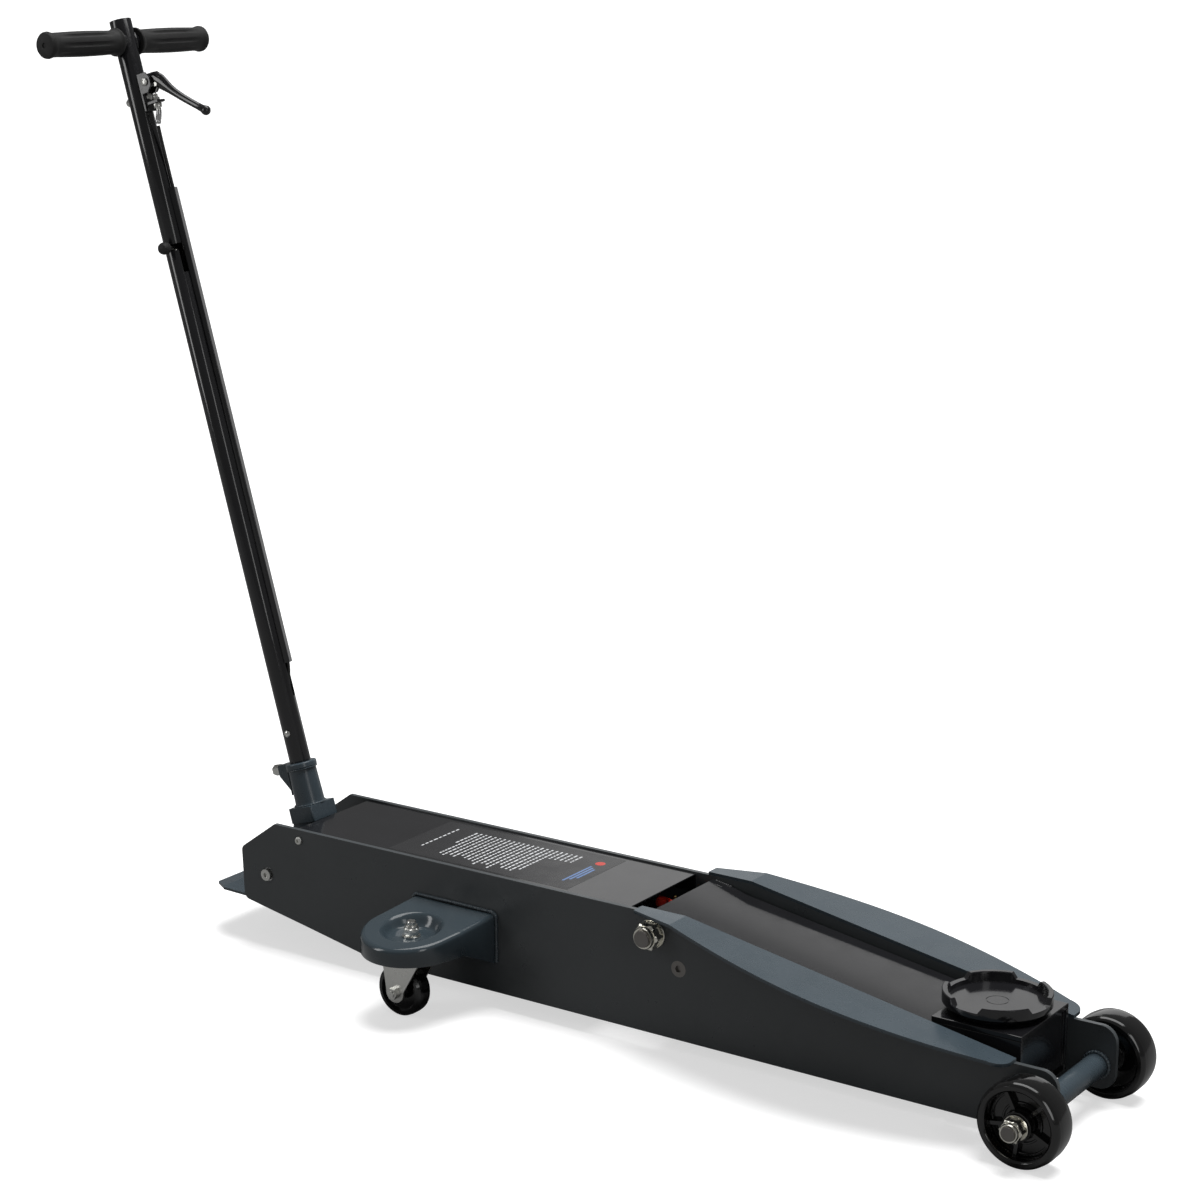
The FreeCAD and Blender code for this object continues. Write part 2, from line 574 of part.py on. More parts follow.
def build_lift_arm():
    nodes["arm_side_plates"] = both_sides(arm_side())
    nodes["arm_top_plate"] = arm_top_plate()
    boss = across(*PIVOT, PIVOT_BOSS_R, -ARM_IN, ARM_IN)
    nodes["arm_pivot_tube"] = boss.cut(across(*PIVOT, PIVOT_R + RUN, -HALF, HALF))
    nodes["ram_lugs"] = both_sides(ram_lug())
    pin_end = LUG_IN + LUG_T + 2
    nodes["ram_pin"] = across(*RAM_PIN, RAM_PIN_R, -pin_end, pin_end)
    nodes["carrier_pin"] = across(*ARM_TIP, CARRIER_PIN_R, -ARM_OUT, ARM_OUT)


def radius_rod():
    """Flat bar with round eyes, from the chassis to the carrier."""
    bar = joined([box(0, ARM_LEN, ROD_IN, ROD_OUT, -ROD_H / 2, ROD_H / 2),
                  across(0, 0, ROD_EYE_R, ROD_IN, ROD_OUT), across(ARM_LEN, 0, ROD_EYE_R, ROD_IN, ROD_OUT)])
    for x in (0, ARM_LEN):
        bar = bar.cut(across(x, 0, ROD_PIN_R + RUN, ROD_IN - 1, ROD_OUT + 1))
    fall = math.degrees(math.atan2(PIVOT[1] - ARM_TIP[1], ARM_TIP[0] - PIVOT[0]))
    bar.rotate(V(0, 0, 0), Y_AXIS, fall)
    bar.translate(V(ROD_REAR[0], 0, ROD_REAR[1]))
    return bar


def carrier_body():
    """Two cheeks, a front panel set back between them and a saddle boss."""
    t = CARRIER_SHEET
    x, z = ARM_TIP
    under = CARRIER_TOP - t
    outline = [(CARRIER_REAR_X, under), (CARRIER_FRONT_X, under), (CARRIER_FRONT_X, CARRIER_LOW + 8),
               (CARRIER_FRONT_X - 10, CARRIER_LOW - 2), (ROD_FRONT[0] - 14, CARRIER_LOW - 4),
               (x - 16, z - 22), (CARRIER_REAR_X + 20, z - 10)]
    cheek = prism(outline, CARRIER_HALF - t, CARRIER_HALF)
    cheek = cheek.cut(across(x, z, CARRIER_PIN_R + RUN, 0, HALF))
    cheek = cheek.cut(across(*ROD_FRONT, ROD_PIN_R + SEAT, 0, HALF))
    panel = box(CARRIER_FRONT_X - 3 - t, CARRIER_FRONT_X - 3, t - CARRIER_HALF, CARRIER_HALF - t,
                CARRIER_LOW + 14, under)
    boss_low = z + CARRIER_PIN_R + 4
    boss = rod((x, 0, boss_low), Z_AXIS, STEM_R + STEM_BOSS, under - boss_low)
    boss = boss.cut(rod((x, 0, 0), Z_AXIS, STEM_R + RUN, CARRIER_TOP))
    web = box(x - CARRIER_WEB_HALF, x + CARRIER_WEB_HALF, STEM_R + STEM_BOSS - 1, CARRIER_HALF - t,
              CARRIER_TOP - STEM_LEN, under)
    return joined([cheek, mirrored(cheek), panel, boss, web, mirrored(web)])


def saddle_notch(turn):
    """The gap between two of the rim's lugs, wider at the top than at the bottom."""
    reach = SADDLE_R + 5
    wide = reach * math.tan(math.radians(NOTCH_HALF_DEG + NOTCH_SLOPE_DEG))
    thin = reach * math.tan(math.radians(NOTCH_HALF_DEG))
    rings = []
    for root, half, z in ((0, thin, SADDLE_RIM), (-6, wide, SADDLE_LUG + 2)):
        rings.append(Part.makePolygon([V(root, 0, z), V(reach, -half, z), V(reach, half, z), V(root, 0, z)]))
    notch = Part.makeLoft(rings, True)
    notch.rotate(V(0, 0, 0), Z_AXIS, turn)
    return notch


def saddle():
    """Dish with a castellated rim: raised lugs with sloped ends."""
    inner = SADDLE_R - SADDLE_WALL
    under = CARRIER_TOP + OFF
    profile = [(0, under), (SADDLE_R - SADDLE_TAPER, under), (SADDLE_R, SADDLE_FLOOR - 1),
               (SADDLE_R, SADDLE_LUG - 1), (SADDLE_R - 1, SADDLE_LUG), (inner + 1, SADDLE_LUG),
               (inner, SADDLE_LUG - 1), (inner, SADDLE_FLOOR), (0, SADDLE_FLOOR)]
    dish = revolved(profile, 0, 0, 0, Z_AXIS)
    for i in range(NOTCH_COUNT):
        dish = dish.cut(saddle_notch(360 / NOTCH_COUNT * (i + 0.5) + LUG_TURN))
    outer_r, inner_r, depth = DISH_RING
    ring = rod((0, 0, SADDLE_FLOOR - depth), Z_AXIS, outer_r, 2)
    ring = ring.cut(rod((0, 0, SADDLE_FLOOR - 1), Z_AXIS, inner_r, 3))
    stem = rod((0, 0, CARRIER_TOP - STEM_LEN), Z_AXIS, STEM_R, STEM_LEN + 1)
    dish = joined([dish.cut(ring), stem])
    dish.translate(V(ARM_TIP[0], 0, 0))
    return dish


def build_linkage():
    nodes["radius_rods"] = both_sides(radius_rod())
    nodes["carrier_body"] = carrier_body()
    top = box(CARRIER_REAR_X, CARRIER_FRONT_X, -CARRIER_HALF, CARRIER_HALF,
              CARRIER_TOP - CARRIER_SHEET, CARRIER_TOP)
    nodes["carrier_top_plate"] = top.cut(rod((ARM_TIP[0], 0, 0), Z_AXIS, STEM_R + RUN, 2 * CARRIER_TOP))
    pin = across(*ROD_FRONT, ROD_PIN_R, CARRIER_HALF - CARRIER_SHEET, ROD_OUT)
    collar = across(*ROD_FRONT, ROD_PIN_R + ROD_COLLAR, CARRIER_HALF, ROD_IN - OFF)
    nodes["rod_pins"] = both_sides(joined([pin, collar]))
    nodes["saddle"] = saddle()


# ---- hydraulics --------------------------------------------------------------
def pump_block():
    top = RAM_Z + TANK_R
    block = box(BLOCK_REAR_X, BLOCK_FRONT_X, -BLOCK_HALF, BLOCK_HALF, BLOCK_LOW, top)
    block = round_edges(block, X_AXIS, BLOCK_EDGE_R)
    block = block.cut(rod((BLOCK_REAR_X - 1, 0, PLUNGER_Z), X_AXIS, PLUNGER_R + RUN, PLUNGER_BORE + 1))
    return block.cut(rod((*VALVE, top - VALVE_DEPTH), Z_AXIS, VALVE_R + RUN, VALVE_DEPTH + 10))


def reservoir():
    """Oil tank round the barrel, closed by the block and the bulkhead."""
    length = BULKHEAD_X - BLOCK_FRONT_X
    tank = rod((BLOCK_FRONT_X, 0, RAM_Z), X_AXIS, TANK_R, length)
    hollow = rod((BLOCK_FRONT_X + TANK_WALL, 0, RAM_Z), X_AXIS, TANK_R - TANK_WALL, length - 2 * TANK_WALL)
    return tank.cut(hollow).cut(rod((BLOCK_FRONT_X - 1, 0, RAM_Z), X_AXIS, BARREL_R + SEAT, length + 2))


def ram_cylinder():
    length = BULKHEAD_X - BLOCK_FRONT_X
    barrel = rod((BLOCK_FRONT_X, 0, RAM_Z), X_AXIS, BARREL_R, length + BULKHEAD + GLAND)
    gland = hexagon((BULKHEAD_X + BULKHEAD + 3, 0, RAM_Z), X_AXIS, 2 * BARREL_R + 6, GLAND_HEX)
    bore = rod((BLOCK_FRONT_X + BORE_WALL, 0, RAM_Z), X_AXIS, BORE_R, length - BORE_WALL)
    neck = rod((BULKHEAD_X - 1, 0, RAM_Z), X_AXIS, RAM_R + RUN, BULKHEAD + 2 * GLAND)
    return joined([barrel, gland]).cut(bore).cut(neck)


def ram_rod():
    root = RAM_PIN[0] - HEAD_HALF[0]
    shaft = rod((root, 0, RAM_Z), -X_AXIS, RAM_R, ROD_LEN)
    piston = rod((root - ROD_LEN, 0, RAM_Z), -X_AXIS, BORE_R - RUN, PISTON_LEN)
    return joined([shaft, piston])


def ram_crosshead():
    """Block with an upright slot in which the ram pin rises and falls as the arm swings."""
    x = RAM_PIN[0]
    length, height = HEAD_HALF
    side = LUG_IN - GAP
    head = box(x - length, x + length, -side, side, RAM_Z - height, RAM_Z + height)
    head = round_edges(head, Y_AXIS, HEAD_EDGE_R)
    low, high = PIVOT[1] - LUG_R, RAM_PIN[1]
    reach = RAM_PIN_R + PIN_PLAY
    for z in (low, high):
        head = head.cut(across(x, z, reach, -LUG_IN, LUG_IN))
    return head.cut(box(x - reach, x + reach, -LUG_IN, LUG_IN, low, high))


def pump_plunger():
    start = nose_centre(0).x + NOSE_TIP_R + PLUNGER_GAP + PLUNGER_R
    dome = Part.makeSphere(PLUNGER_R, V(start, 0, PLUNGER_Z))
    return joined([dome, rod((start, 0, PLUNGER_Z), X_AXIS, PLUNGER_R, PLUNGER_LEN - PLUNGER_R)])


def valve_lever():
    x, y = VALVE
    width, length, thick = VALVE_ARM
    top = RAM_Z + TANK_R
    stem = rod((x, y, top + 2 - VALVE_DEPTH), Z_AXIS, VALVE_R, VALVE_DEPTH + thick + 3)
    arm = box(x - width / 2, x + width / 2, y - length, y, top + 2, top + 2 + thick)
    return joined([stem, round_edges(arm, Z_AXIS, 3.0)])


def filler_shelf():
    front = BULKHEAD_X + BULKHEAD
    shelf = box(front, front + SHELF_LEN, *SHELF_Y, SHELF_Z, SHELF_Z + SHELF_T)
    shelf = round_edges(shelf, Z_AXIS, 5.0, lambda e: e.Vertexes[0].X > front + 1)
    return joined([shelf, rod((*CAP, SHELF_Z + SHELF_T), Z_AXIS, CAP_NECK_R, CAP_NECK_H)])


def filler_cap():
    x, y = CAP
    low = SHELF_Z + SHELF_T + CAP_NECK_H
    reach, half, thick = CAP_TAB
    tab = box(x, x + reach, y - half, y + half, low + 4, low + 4 + thick)
    hole = rod((x + 12.5, y, low), Z_AXIS, CAP_HOLE_R, 30)
    return joined([rod((x, y, low), Z_AXIS, CAP_R, CAP_H), tab]).cut(hole)


def grease_nipple():
    low = SHELF_Z + SHELF_T
    return joined([hexagon((*NIPPLE, low), Z_AXIS, NIPPLE_HEX, NIPPLE_HEX_H),
                   rod((*NIPPLE, low), Z_AXIS, NIPPLE_R, NIPPLE_H - 1),
                   Part.makeSphere(NIPPLE_TIP_R, V(*NIPPLE, low + NIPPLE_H))])


def build_hydraulics():
    for make in (pump_block, reservoir, ram_cylinder, ram_rod, ram_crosshead, pump_plunger, valve_lever,
                 filler_shelf, filler_cap, grease_nipple):
        nodes[make.__name__] = make()


def nose_centre(pump_deg):
    turn = math.radians(pump_deg - PUMP_MID)
    return V(YOKE_PIVOT[0] + NOSE_ARM * math.sin(turn), 0, YOKE_PIVOT[1] - NOSE_ARM * math.cos(turn))


# ---- handle --------------------------------------------------------------------
# Handle parts are drawn upright: local Z runs up the handle, local X is its front.
def lay_back(shape):
    result = shape.copy()
    result.rotate(V(0, 0, 0), Y_AXIS, -LEAN)
    result.translate(V(HANDLE_FOOT[0], 0, HANDLE_FOOT[1]))
    return result


def to_local(x, z):
    turn = math.radians(LEAN)
    dx, dz = x - HANDLE_FOOT[0], z - HANDLE_FOOT[1]
    return (dx * math.cos(turn) + dz * math.sin(turn), dz * math.cos(turn) - dx * math.sin(turn))


def at_turn(radius, degrees, s):
    """A point round the tube: degrees from straight ahead towards the right side."""
    turn = math.radians(-degrees)
    return V(radius * math.cos(turn), radius * math.sin(turn), s)


def yoke():
    """Cast socket on a block, a web down to the pivot hub and a nose that works the pump."""
    bore = TUBE_R + SEAT
    foot_wall, top_wall, collar_wall = SOCKET_WALL
    cone = Part.makeCone(TUBE_R + foot_wall, TUBE_R + top_wall, 52, V(0, 0, 0), Z_AXIS)
    collar = rod((0, 0, 49), Z_AXIS, TUBE_R + collar_wall, 8)
    collar = collar.makeFillet(2.0, [e for e in collar.Edges if isinstance(e.Curve, Part.Circle)])
    block = round_edges(box(-19, 21, -24, 24, -20, 0), Z_AXIS, 2.0)
    lug = prism([(-15, 14), (-15, 57), (-34, 57), (-34, 42)], -9, 9)
    lug = round_edges(lug, Y_AXIS, 3.0, lambda e: e.Vertexes[0].X < -30)
    hub_x, hub_z = to_local(*YOKE_PIVOT)
    web = prism([(-19, -19), (12, -19), (6, -34), (hub_x + 12, hub_z - 8), (hub_x - 13, hub_z - 6)], -20, 20)
    hub = across(hub_x, hub_z, YOKE_HUB_R, GAP - INNER, INNER - GAP)
    body = joined([cone, collar, block, lug, web, hub])
    body = body.cut(rod((0, 0, TUBE_FOOT), Z_AXIS, bore, 80))
    body = body.cut(across(hub_x, hub_z, YOKE_PIN_R + RUN, -HALF, HALF))
    body = body.cut(rod((-40, 0, CLAMP_S), X_AXIS, 4.0 + SEAT, 30))
    body = lay_back(body)
    tip = nose_centre(0)
    toe = joined([across(tip.x, tip.z, NOSE_TIP_R, -9, 9),
                  prism([(YOKE_PIVOT[0] - 12, YOKE_PIVOT[1] - 8), (YOKE_PIVOT[0] - 1, YOKE_PIVOT[1] - 13),
                         (tip.x + 4, tip.z + 5), (tip.x - 6, tip.z + 3)], -9, 9)])
    return joined([body, toe]).cut(across(*YOKE_PIVOT, YOKE_PIN_R + RUN, -HALF, HALF))


def handle_tube():
    tube = rod((0, 0, TUBE_FOOT), Z_AXIS, TUBE_R, TUBE_TOP - TUBE_FOOT)
    tube = tube.cut(rod((0, 0, TUBE_FOOT - 1), Z_AXIS, TUBE_IN, TUBE_TOP - TUBE_FOOT - 2))
    tube = tube.cut(across(0, TBAR_S, TBAR_R + SEAT, -40, 40))
    upright = box(0, 30, -SLOT_W / 2, SLOT_W / 2, SLOT_LOW, SLOT_TOP)
    upright.rotate(V(0, 0, 0), Z_AXIS, -SLOT_TURN)
    margin = math.degrees(SLOT_W / 2 / TUBE_IN)
    sweep = STEM_TURN - SLOT_TURN + 2 * margin
    branch = Part.makeCylinder(30, SLOT_W, V(0, 0, SLOT_TOP - SLOT_W), Z_AXIS, sweep)
    branch.rotate(V(0, 0, 0), Z_AXIS, -STEM_TURN - margin)
    entry = box(0, 30, -CABLE_R - 1.2, CABLE_R + 1.2, CHANNEL_LOW - 44, CHANNEL_LOW + 14)
    entry.rotate(V(0, 0, 0), Z_AXIS, CABLE_TURN)
    bolt = rod((-30, 0, BRACKET_BOLT_S), X_AXIS, BRACKET_BOLT_R + SEAT, 60)
    return tube.cut(upright).cut(branch).cut(entry).cut(bolt)


def grip():
    """Barrel-shaped rubber grip with a flange at each end."""
    length = GRIP_OUT - GRIP_IN
    bore = TBAR_R + SEAT
    profile = [(bore, GRIP_IN), (GRIP_R + 2, GRIP_IN), (GRIP_R + 2.5, GRIP_IN + 2), (GRIP_R + 1, GRIP_IN + 5),
               (GRIP_R - 1.5, GRIP_IN + 9), (GRIP_R - 0.4, GRIP_IN + length * 0.3),
               (GRIP_R, GRIP_IN + length * 0.5), (GRIP_R - 0.5, GRIP_IN + length * 0.75),
               (GRIP_R - 1.5, GRIP_OUT - 10), (GRIP_R + 0.5, GRIP_OUT - 6), (GRIP_R - 1, GRIP_OUT - 1),
               (GRIP_R - 5, GRIP_OUT), (0, GRIP_OUT), (0, GRIP_OUT - 3), (bore, GRIP_OUT - 3)]
    return revolved(profile, 0, 0, TBAR_S)


def lever_bracket():
    """Folded bracket on the tube's front: base, two cheeks and a tab for the adjuster."""
    face = TUBE_R + SEAT
    base = box(face, TUBE_R + 3, -FOLD_HALF, FOLD_HALF, FOLD_LOW, FOLD_TOP)
    rim = TUBE_R + 20
    outline = [(face, LEVER_S - 14), (face, FOLD_TOP), (rim - 6, FOLD_TOP), (rim, LEVER_S + 4),
               (rim, LEVER_S - 6), (rim - 8, LEVER_S - 14)]
    cheek = prism(outline, FOLD_HALF - FOLD_SHEET, FOLD_HALF)
    body = joined([base, cheek, mirrored(cheek), box(face, rim + 3, -7, 7, TAB_LOW, TAB_TOP)])
    body = body.cut(across(LEVER_N, LEVER_S, LEVER_PIN_R + SEAT, -20, 20))
    body = body.cut(rod((ADJUST_N, 0, FOLD_LOW), Z_AXIS, ADJUST_R + SEAT, FOLD_TOP - FOLD_LOW))
    return body.cut(rod((0, 0, BRACKET_BOLT_S), X_AXIS, BRACKET_BOLT_R + SEAT, 60))


def release_lever():
    """Boss, tapering blade and round arm that ends in a ball."""
    outline = [(-2, 7), (4.7, 7.5), (12.7, 5), (26.7, -8), (30.7, -18), (20.7, -22), (11.7, -13), (-3, -6)]
    blade = prism([(LEVER_N + n, LEVER_S + s) for n, s in outline], -4.5, 4.5)
    boss = across(LEVER_N, LEVER_S, LEVER_BOSS_R, -6.5, 6.5)
    start, end = [V(LEVER_N + n, 0, LEVER_S + s) for n, s in LEVER_ARM]
    arm = Part.makeCone(5.6, 4.0, (end - start).Length, start, end - start)
    body = joined([blade, boss, arm, Part.makeSphere(LEVER_BALL_R, end)])
    return body.cut(across(LEVER_N, LEVER_S, LEVER_PIN_R + RUN, -20, 20))


def cord_path(points):
    """Straight runs joined by tangent arcs, each as large as its two runs allow."""
    edges = []
    last = points[0]
    for before, corner, after in zip(points, points[1:], points[2:]):
        back, ahead = before - corner, after - corner
        turn = math.pi - back.getAngle(ahead)
        trim = 0.45 * min(back.Length, ahead.Length)
        radius = trim / math.tan(turn / 2)
        print("cable bend radius %.1f mm, turn %.1f degrees" % (radius, math.degrees(turn)))
        start = corner + back.normalize() * trim
        end = corner + ahead.normalize() * trim
        inward = (start - corner) + (end - corner)
        reach = inward.Length
        depth = math.hypot(radius, trim) - radius
        middle = corner + inward * (depth / reach)
        edges.append(Part.LineSegment(last, start).toShape())
        edges.append(Part.Arc(start, middle, end).toShape())
        last = end
    edges.append(Part.LineSegment(last, points[-1]).toShape())
    return Part.Wire(edges)


def cable_points():
    lane = TUBE_R + CABLE_R + OFF
    inside = TUBE_IN - CABLE_R - 1.0
    spout = V(TUBE_R + SPOUT_OUT - 1.1, 0, LEVER_S - SPOUT_BELOW - 2.5)
    return [spout, at_turn(TUBE_R + 4.4, -9, LEVER_S - 80),
            at_turn(lane, -CABLE_TURN, CHANNEL_TOP + 24),
            at_turn(lane, -CABLE_TURN, CHANNEL_LOW - 4), at_turn(inside, -CABLE_TURN, CHANNEL_LOW - 32),
            at_turn(inside, -CABLE_TURN, CHANNEL_LOW - 62)]


def release_cable():
    points = cable_points()
    path = cord_path(points)
    first = path.Edges[0]
    along = first.tangentAt(first.FirstParameter)
    ring = Part.Wire([Part.Circle(points[0], along, CABLE_R).toShape()])
    tube = path.makePipeShell([ring], True, False)
    fill = tube.Volume / (math.pi * CABLE_R ** 2 * path.Length)
    print("cable volume over section times length: %.4f" % fill)
    print("cable length %.0f mm" % path.Length)
    return tube


def cable_channel():
    """Folded cover over the cable on the tube's front."""
    outer = box(TUBE_R - 1, CHANNEL_OUT, -5.6, 5.6, CHANNEL_LOW, CHANNEL_TOP)
    outer = round_edges(outer, Z_AXIS, 1.2, lambda e: e.Vertexes[0].X > CHANNEL_OUT - 1)
    half = CABLE_R + OFF + 0.6
    lane = box(0, CHANNEL_OUT - 1.5, -half, half, CHANNEL_LOW - 1, CHANNEL_TOP + 1)
    body = outer.cut(lane).cut(rod((0, 0, CHANNEL_LOW - 1), Z_AXIS, TUBE_R + SEAT, CHANNEL_TOP))
    body.rotate(V(0, 0, 0), Z_AXIS, CABLE_TURN)
    return body


def lock_rod():
    """Rod on the tube's axis with a top that is bent square, out through the slot."""
    level = SLOT_TOP - SLOT_W / 2
    corner = V(0, 0, level)
    end = at_turn(KNOB_IN + 6, STEM_TURN, level)
    upright = rod((0, 0, LOCK_FOOT), Z_AXIS, LOCK_R, level - LOCK_FOOT)
    stem = Part.makeCylinder(LOCK_R, (end - corner).Length, corner, end - corner)
    return joined([upright, Part.makeSphere(LOCK_R, corner), stem])


def lock_knob():
    level = SLOT_TOP - SLOT_W / 2
    end = KNOB_IN + KNOB_LEN
    profile = [(0, KNOB_IN), (6.0, KNOB_IN), (7.5, KNOB_IN + 3), (8.0, KNOB_IN + 9), (7.4, end - 4),
               (5.5, end - 1), (0, end)]
    out = at_turn(1, STEM_TURN, 0)
    knob = revolved(profile, 0, 0, 0, out)
    knob.translate(V(0, 0, level))
    return knob.cut(Part.makeCylinder(LOCK_R + SEAT, KNOB_IN + 6, V(0, 0, level), out))


def clamp_bolt():
    radius, flats, head = CLAMP_BOLT
    shank = rod((-41, 0, CLAMP_S), X_AXIS, radius, 41 - TUBE_R - 0.5)
    bolt = joined([shank, hexagon((-47, 0, CLAMP_S), X_AXIS, flats, head)])
    nut = hexagon((-40.4, 0, CLAMP_S), X_AXIS, flats, 6.0)
    return Part.Compound([bolt, nut.cut(rod((-42, 0, CLAMP_S), X_AXIS, radius + SEAT, 10))])


def bracket_bolts():
    """The lever's pivot pin and the bolt that holds the bracket on the tube."""
    pin = joined([across(LEVER_N, LEVER_S, LEVER_PIN_R, -9.6, 9.6),
                  across(LEVER_N, LEVER_S, 5.0, -12.5, -9.5), across(LEVER_N, LEVER_S, 5.0, 9.5, 12.5)])
    clamp = joined([rod((-TUBE_R - 6, 0, BRACKET_BOLT_S), X_AXIS, BRACKET_BOLT_R, 2 * TUBE_R + 9.2),
                    hexagon((-TUBE_R - 4.6, 0, BRACKET_BOLT_S), X_AXIS, 10.0, 4.5),
                    rod((TUBE_R + 3, 0, BRACKET_BOLT_S), X_AXIS, 5.0, 3)])
    return Part.Compound([pin, clamp])


def cable_adjuster():
    """Threaded barrel with a lock nut, a knurled ring and a bent spout for the cable."""
    top = V(ADJUST_N, 0, ADJUST_LOW + 1)
    low = V(TUBE_R + SPOUT_OUT, 0, LEVER_S - SPOUT_BELOW)
    reach = (low - top).Length
    return joined([hexagon((ADJUST_N, 0, TAB_TOP), Z_AXIS, 8.0, 4.0),
                   rod((ADJUST_N, 0, ADJUST_LOW), Z_AXIS, ADJUST_R, ADJUST_TOP - ADJUST_LOW),
                   rod((ADJUST_N, 0, TAB_LOW - 6), Z_AXIS, 5.5, 6),
                   Part.makeCone(ADJUST_R, 3.8, reach * 0.7, top, low - top),
                   Part.makeCylinder(2.8, reach, top, low - top), Part.makeSphere(ADJUST_R, top)])


def t_bar():
    return across(0, TBAR_S, TBAR_R, -GRIP_OUT + 3.2, GRIP_OUT - 3.2)


def build_handle():
    nodes["yoke"] = yoke()
    for make in (clamp_bolt, handle_tube, t_bar, lever_bracket, bracket_bolts, cable_adjuster, release_cable,
                 cable_channel, release_lever, lock_rod, lock_knob):
        nodes[make.__name__] = lay_back(make())
    nodes["grip_left"] = lay_back(grip())
    nodes["grip_right"] = mirrored(nodes["grip_left"])


# ---- wing brackets and casters -------------------------------------------------
def wing_outline(inset):
    """Plan outline: straight sides from the plate, then an arc round the caster."""
    radius = WING_END_R - inset
    left, right = V(WING_REAR_X + inset, HALF, 0), V(WING_FRONT_X - inset, HALF, 0)
    left_end, right_end = V(CASTER_X - radius, CASTER_Y, 0), V(CASTER_X + radius, CASTER_Y, 0)
    arc = Part.Arc(right_end, V(CASTER_X, CASTER_Y + radius, 0), left_end)
    edges = [Part.LineSegment(left, right), Part.LineSegment(right, right_end), arc,
             Part.LineSegment(left_end, left)]
    return Part.Face(Part.Wire([c.toShape() for c in edges]))


def wing_slope_solid(lower):
    """Everything under the bracket's sloping top, lowered by some distance."""
    drop = math.tan(math.radians(WING_SLOPE))
    far = CASTER_Y + WING_END_R + 20
    top = [(HALF - 5, WING_TOP + drop * 5 - lower), (far, WING_TOP - drop * (far - HALF) - lower)]
    corners = [V(-2000, y, z) for y, z in top + [(far, 0), (HALF - 5, 0)]]
    return Part.Face(Part.makePolygon(corners + corners[:1])).extrude(V(3000, 0, 0))


def below_skirt():
    """Everything under the skirt's lower edge, which drops towards the plate."""
    end_y = CASTER_Y + WING_END_R
    end_top = WING_TOP - math.tan(math.radians(WING_SLOPE)) * (end_y - HALF)
    outline = [(HALF - 1, 0), (end_y + 10, 0), (end_y + 10, end_top - WING_SKIRT),
               (CASTER_Y - 16, end_top - WING_SKIRT + 2), (HALF - 1, WING_LOW)]
    corners = [V(-2000, y, z) for y, z in outline]
    return Part.Face(Part.makePolygon(corners + corners[:1])).extrude(V(3000, 0, 0))


def wing_bracket():
    """Pressed sheet bracket: sloping top, dished caster seat, skirt that deepens to the plate."""
    column = V(0, 0, WING_TOP + 30)
    outer = wing_outline(0).extrude(column).common(wing_slope_solid(0))
    inner = wing_outline(WING_SHEET).extrude(column).common(wing_slope_solid(WING_SHEET))
    shell = outer.cut(inner).cut(below_skirt())
    dish = Part.makeCone(DISH_R - 7, DISH_R + 5, 25, V(CASTER_X, CASTER_Y, DISH_FLOOR), Z_AXIS)
    pan_foot = V(CASTER_X, CASTER_Y, DISH_FLOOR - WING_SHEET)
    pan = Part.makeCone(DISH_R - 3, DISH_R + 9, 25, pan_foot, Z_AXIS).common(outer)
    body = joined([shell, pan]).cut(dish)
    return body.cut(rod((CASTER_X, CASTER_Y, 0), Z_AXIS, KINGPIN_R + SEAT, 2 * WING_TOP))


def kingpin():
    """Caster bolt, washer, nut and swivel race on the bracket's dish."""
    x, y = CASTER_X, CASTER_Y
    seat = DISH_FLOOR - WING_SHEET
    head_r, head_t = KINGPIN_HEAD
    foot = seat - FORK_T - 8
    bolt = joined([rod((x, y, foot - 1), Z_AXIS, KINGPIN_R, WING_SHEET + FORK_T + 29),
                   rod((x, y, foot - head_t), Z_AXIS, head_r, head_t)])
    hole = rod((x, y, 0), Z_AXIS, KINGPIN_R + SEAT, 300)
    washer = rod((x, y, DISH_FLOOR), Z_AXIS, *KINGPIN_WASHER).cut(hole)
    nut = hexagon((x, y, DISH_FLOOR + KINGPIN_WASHER[1]), Z_AXIS, *KINGPIN_NUT).cut(hole)
    race = rod((x, y, seat - RACE[1]), Z_AXIS, *RACE).cut(hole)
    return [bolt, washer, nut, race]


def caster_fork():
    """Folded fork: a top plate and two legs that taper down to the axle."""
    x, y = CASTER_X, CASTER_Y
    ax = x - CASTER_TRAIL
    top_z = DISH_FLOOR - WING_SHEET - RACE[1] - OFF
    out = FORK_HALF + FORK_T
    plate = rod((x, y, top_z - FORK_T), Z_AXIS, FORK_REAR, FORK_T)
    plate = plate.common(box(x - 40, x + 40, y - out, y + out, 0, 200))
    bridge = box(x - FORK_REAR, x + FORK_FRONT, y - out, y + out, top_z - FORK_T, top_z)
    top = joined([plate, bridge]).cut(rod((x, y, 0), Z_AXIS, KINGPIN_R + RUN, 300))
    outline = [(x - FORK_REAR, top_z), (x + FORK_FRONT, top_z), (x + FORK_FRONT, top_z - 20),
               (ax + FORK_EYE_R, CASTER_R + 2), (ax - FORK_EYE_R, CASTER_R + 2), (x - 31, top_z - 20)]
    leg = joined([prism(outline, y + FORK_HALF, y + out),
                  across(ax, CASTER_R, FORK_EYE_R, y + FORK_HALF, y + out)])
    other = leg.copy()
    other.translate(V(0, -2 * FORK_HALF - FORK_T, 0))
    return joined([top, leg, other]).cut(across(ax, CASTER_R, CASTER_AXLE_R + SEAT, 0, 300))


